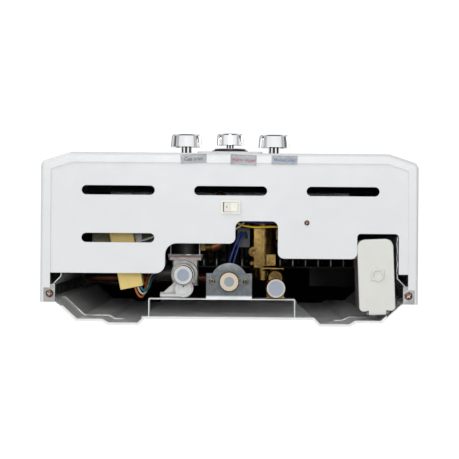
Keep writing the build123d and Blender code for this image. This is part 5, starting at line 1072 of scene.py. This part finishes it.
def knob(name, x, body, profile):
    """A turned knob round its own axis; its hub has flutes painted black as painted shade between
    bright lands.
    """
    form = bmesh.new()
    rings = []
    for i, (radius, depth) in enumerate(profile):
        ring = []
        for k in range(LATHE_STEPS):
            reach = radius - (FLUTE_DEPTH if i in HUB_ROWS and in_flute(k) else 0.0)
            angle = 2 * math.pi * k / LATHE_STEPS - math.pi / 2
            height = KNOB_LEVEL + reach * math.sin(angle)
            ring.append(form.verts.new(place(x + reach * math.cos(angle), depth, height)))
        rings.append(ring)
    for i, (one, two) in enumerate(zip(rings, rings[1:])):
        on_hub = i == HUB_ROWS[0]
        for k, face in enumerate(skin(form, one, two, smooth=not on_hub)):
            face.material_index = int(on_hub and in_flute(k))
    form.faces.new(rings[0])
    form.faces.new(rings[-1])
    bmesh.ops.recalc_face_normals(form, faces=form.faces)
    for edge in form.edges:
        if len(edge.link_faces) == 2 and edge.calc_face_angle() > CREASE:
            edge.smooth = False
    shell = finish_form(name + "_shell", form, [KNOB_CHROME, FLUTE_SHADE], body)
    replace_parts(shell, name)


KNOB_CHROME = metal(
    "knob_chrome", (0.93, 0.94, 0.95), (0.88, 0.89, 0.91), (0.03, 0.08), 900.0, 0.01
)
# Painted shade in the hub's flutes.
FLUTE_SHADE = moulded("flute_painted_shade", (0.012, 0.012, 0.013), (0.02, 0.02, 0.022), (0.4, 0.55))
# Radius and depth, which is below zero in front of the case, from the grip's face to the bore
BIG_KNOB = (
    (0.0030, -0.0240),
    (0.0136, -0.0240),
    (0.0142, -0.0251),
    (0.0153, -0.0251),
    (0.0169, -0.0235),
    (0.0182, -0.0108),
    (0.0180, -0.0106),
    (0.0164, -0.0106),
    (0.0152, -0.0225),
    (0.0066, -0.0225),
    (0.0063, -0.0220),
    (0.0063, -0.0003),
    (0.0031, -0.0003),
    (0.0031, -0.0200),
)
SMALL_KNOB = (
    (0.0030, -0.0251),
    (0.0122, -0.0251),
    (0.0127, -0.0261),
    (0.0134, -0.0261),
    (0.0150, -0.0245),
    (0.0156, -0.0133),
    (0.0154, -0.0131),
    (0.0138, -0.0131),
    (0.0130, -0.0235),
    (0.0052, -0.0235),
    (0.0046, -0.0230),
    (0.0046, -0.0086),
    (0.0031, -0.0086),
    (0.0031, -0.0200),
)
knob("gas_knob", -KNOB_SPACING, "gas_control", BIG_KNOB)
knob("season_knob", 0.0, "season_control", SMALL_KNOB)
knob("water_knob", KNOB_SPACING, "water_control", BIG_KNOB)


# ------------------------------------------------------------------ stage and light

FLOOR_LEVEL = -4.0
FLOOR_HALF_WIDTH = 20.0


def stage_plane(name, half_width, level, material):
    """A level plane that belongs to the stage, not to the heater."""
    form = bmesh.new()
    bmesh.ops.create_grid(form, x_segments=2, y_segments=2, size=half_width)
    mesh = mesh_of(name, form)
    mesh.materials.append(material)
    made = bpy.data.objects.new(name, mesh)
    made.location = (0, 0, level)
    bpy.context.scene.collection.objects.link(made)


floor_material, _, floor_bsdf, _ = shader("floor")
floor_bsdf.inputs["Base Color"].default_value = (0.93, 0.93, 0.93, 1.0)
floor_bsdf.inputs["Roughness"].default_value = 0.9
stage_plane("floor", FLOOR_HALF_WIDTH, FLOOR_LEVEL, floor_material)

# From straight down to straight up: even light, darker walls at eye level, even light again,
# a duller ring round the top and white inside it
SKY = 0.70
BAND = 0.13
RING = 0.25
TOP = 1.0
SKY_STRENGTH = 1.05
STOPS = (
    (0.43, SKY),
    (0.475, BAND),
    (0.60, BAND),
    (0.74, SKY),
    (0.87, SKY),
    (0.89, RING),
    (0.982, RING),
    (0.988, TOP),
)
world = bpy.data.worlds.new("studio")
world.use_nodes = True
sky_tree = world.node_tree
split = sky_tree.nodes.new("ShaderNodeSeparateXYZ")
direction = sky_tree.nodes.new("ShaderNodeTexCoord").outputs["Generated"]
sky_tree.links.new(direction, split.inputs["Vector"])
ramp = sky_tree.nodes.new("ShaderNodeValToRGB")
first, last = ramp.color_ramp.elements
first.position = 0.0
first.color = (SKY, SKY, SKY, 1.0)
last.position = 1.0
last.color = (TOP, TOP, TOP, 1.0)
for position, value in STOPS:
    stop = ramp.color_ramp.elements.new(position)
    stop.color = (value, value, value, 1.0)
upright = spread(sky_tree, split.outputs["Z"], 0.0, 1.0, -1.0, 1.0)
sky_tree.links.new(upright, ramp.inputs["Fac"])
sky_tree.links.new(ramp.outputs["Color"], sky_tree.nodes["Background"].inputs["Color"])
sky_tree.nodes["Background"].inputs["Strength"].default_value = SKY_STRENGTH
bpy.context.scene.world = world
bpy.context.scene.view_settings.view_transform = "Standard"


def softbox(name, where, target, width, length, power):
    """An elliptical lamp that faces its target and isn't seen by the camera."""
    lamp = bpy.data.lights.new(name, "AREA")
    lamp.shape = "ELLIPSE"
    lamp.size = width
    lamp.size_y = length
    lamp.energy = power
    made = bpy.data.objects.new(name, lamp)
    made.location = where
    made.rotation_mode = "QUATERNION"
    made.rotation_quaternion = (target - where).to_track_quat("-Z", "Y")
    made.visible_camera = False
    bpy.context.scene.collection.objects.link(made)


BELOW = 12.0
WASH = 205.0
KEY = 22.0
FILL = 16.0
softbox("below", place(0.0, -0.25, -CAMERA_DISTANCE - 0.3), place(0.0, 0.1, 0.0), 1.3, 0.5, BELOW)
softbox("wash", Vector((0.0, 0.0, -2.9)), Vector((0.0, 0.0, FLOOR_LEVEL)), 13.0, 13.0, WASH)
softbox("key", Vector((-1.2, -2.2, -1.0)), Vector((0, -0.1, -0.25)), 1.2, 1.2, KEY)
softbox("fill", Vector((1.6, -1.0, 1.4)), Vector((0, -0.1, 0)), 1.4, 1.4, FILL)
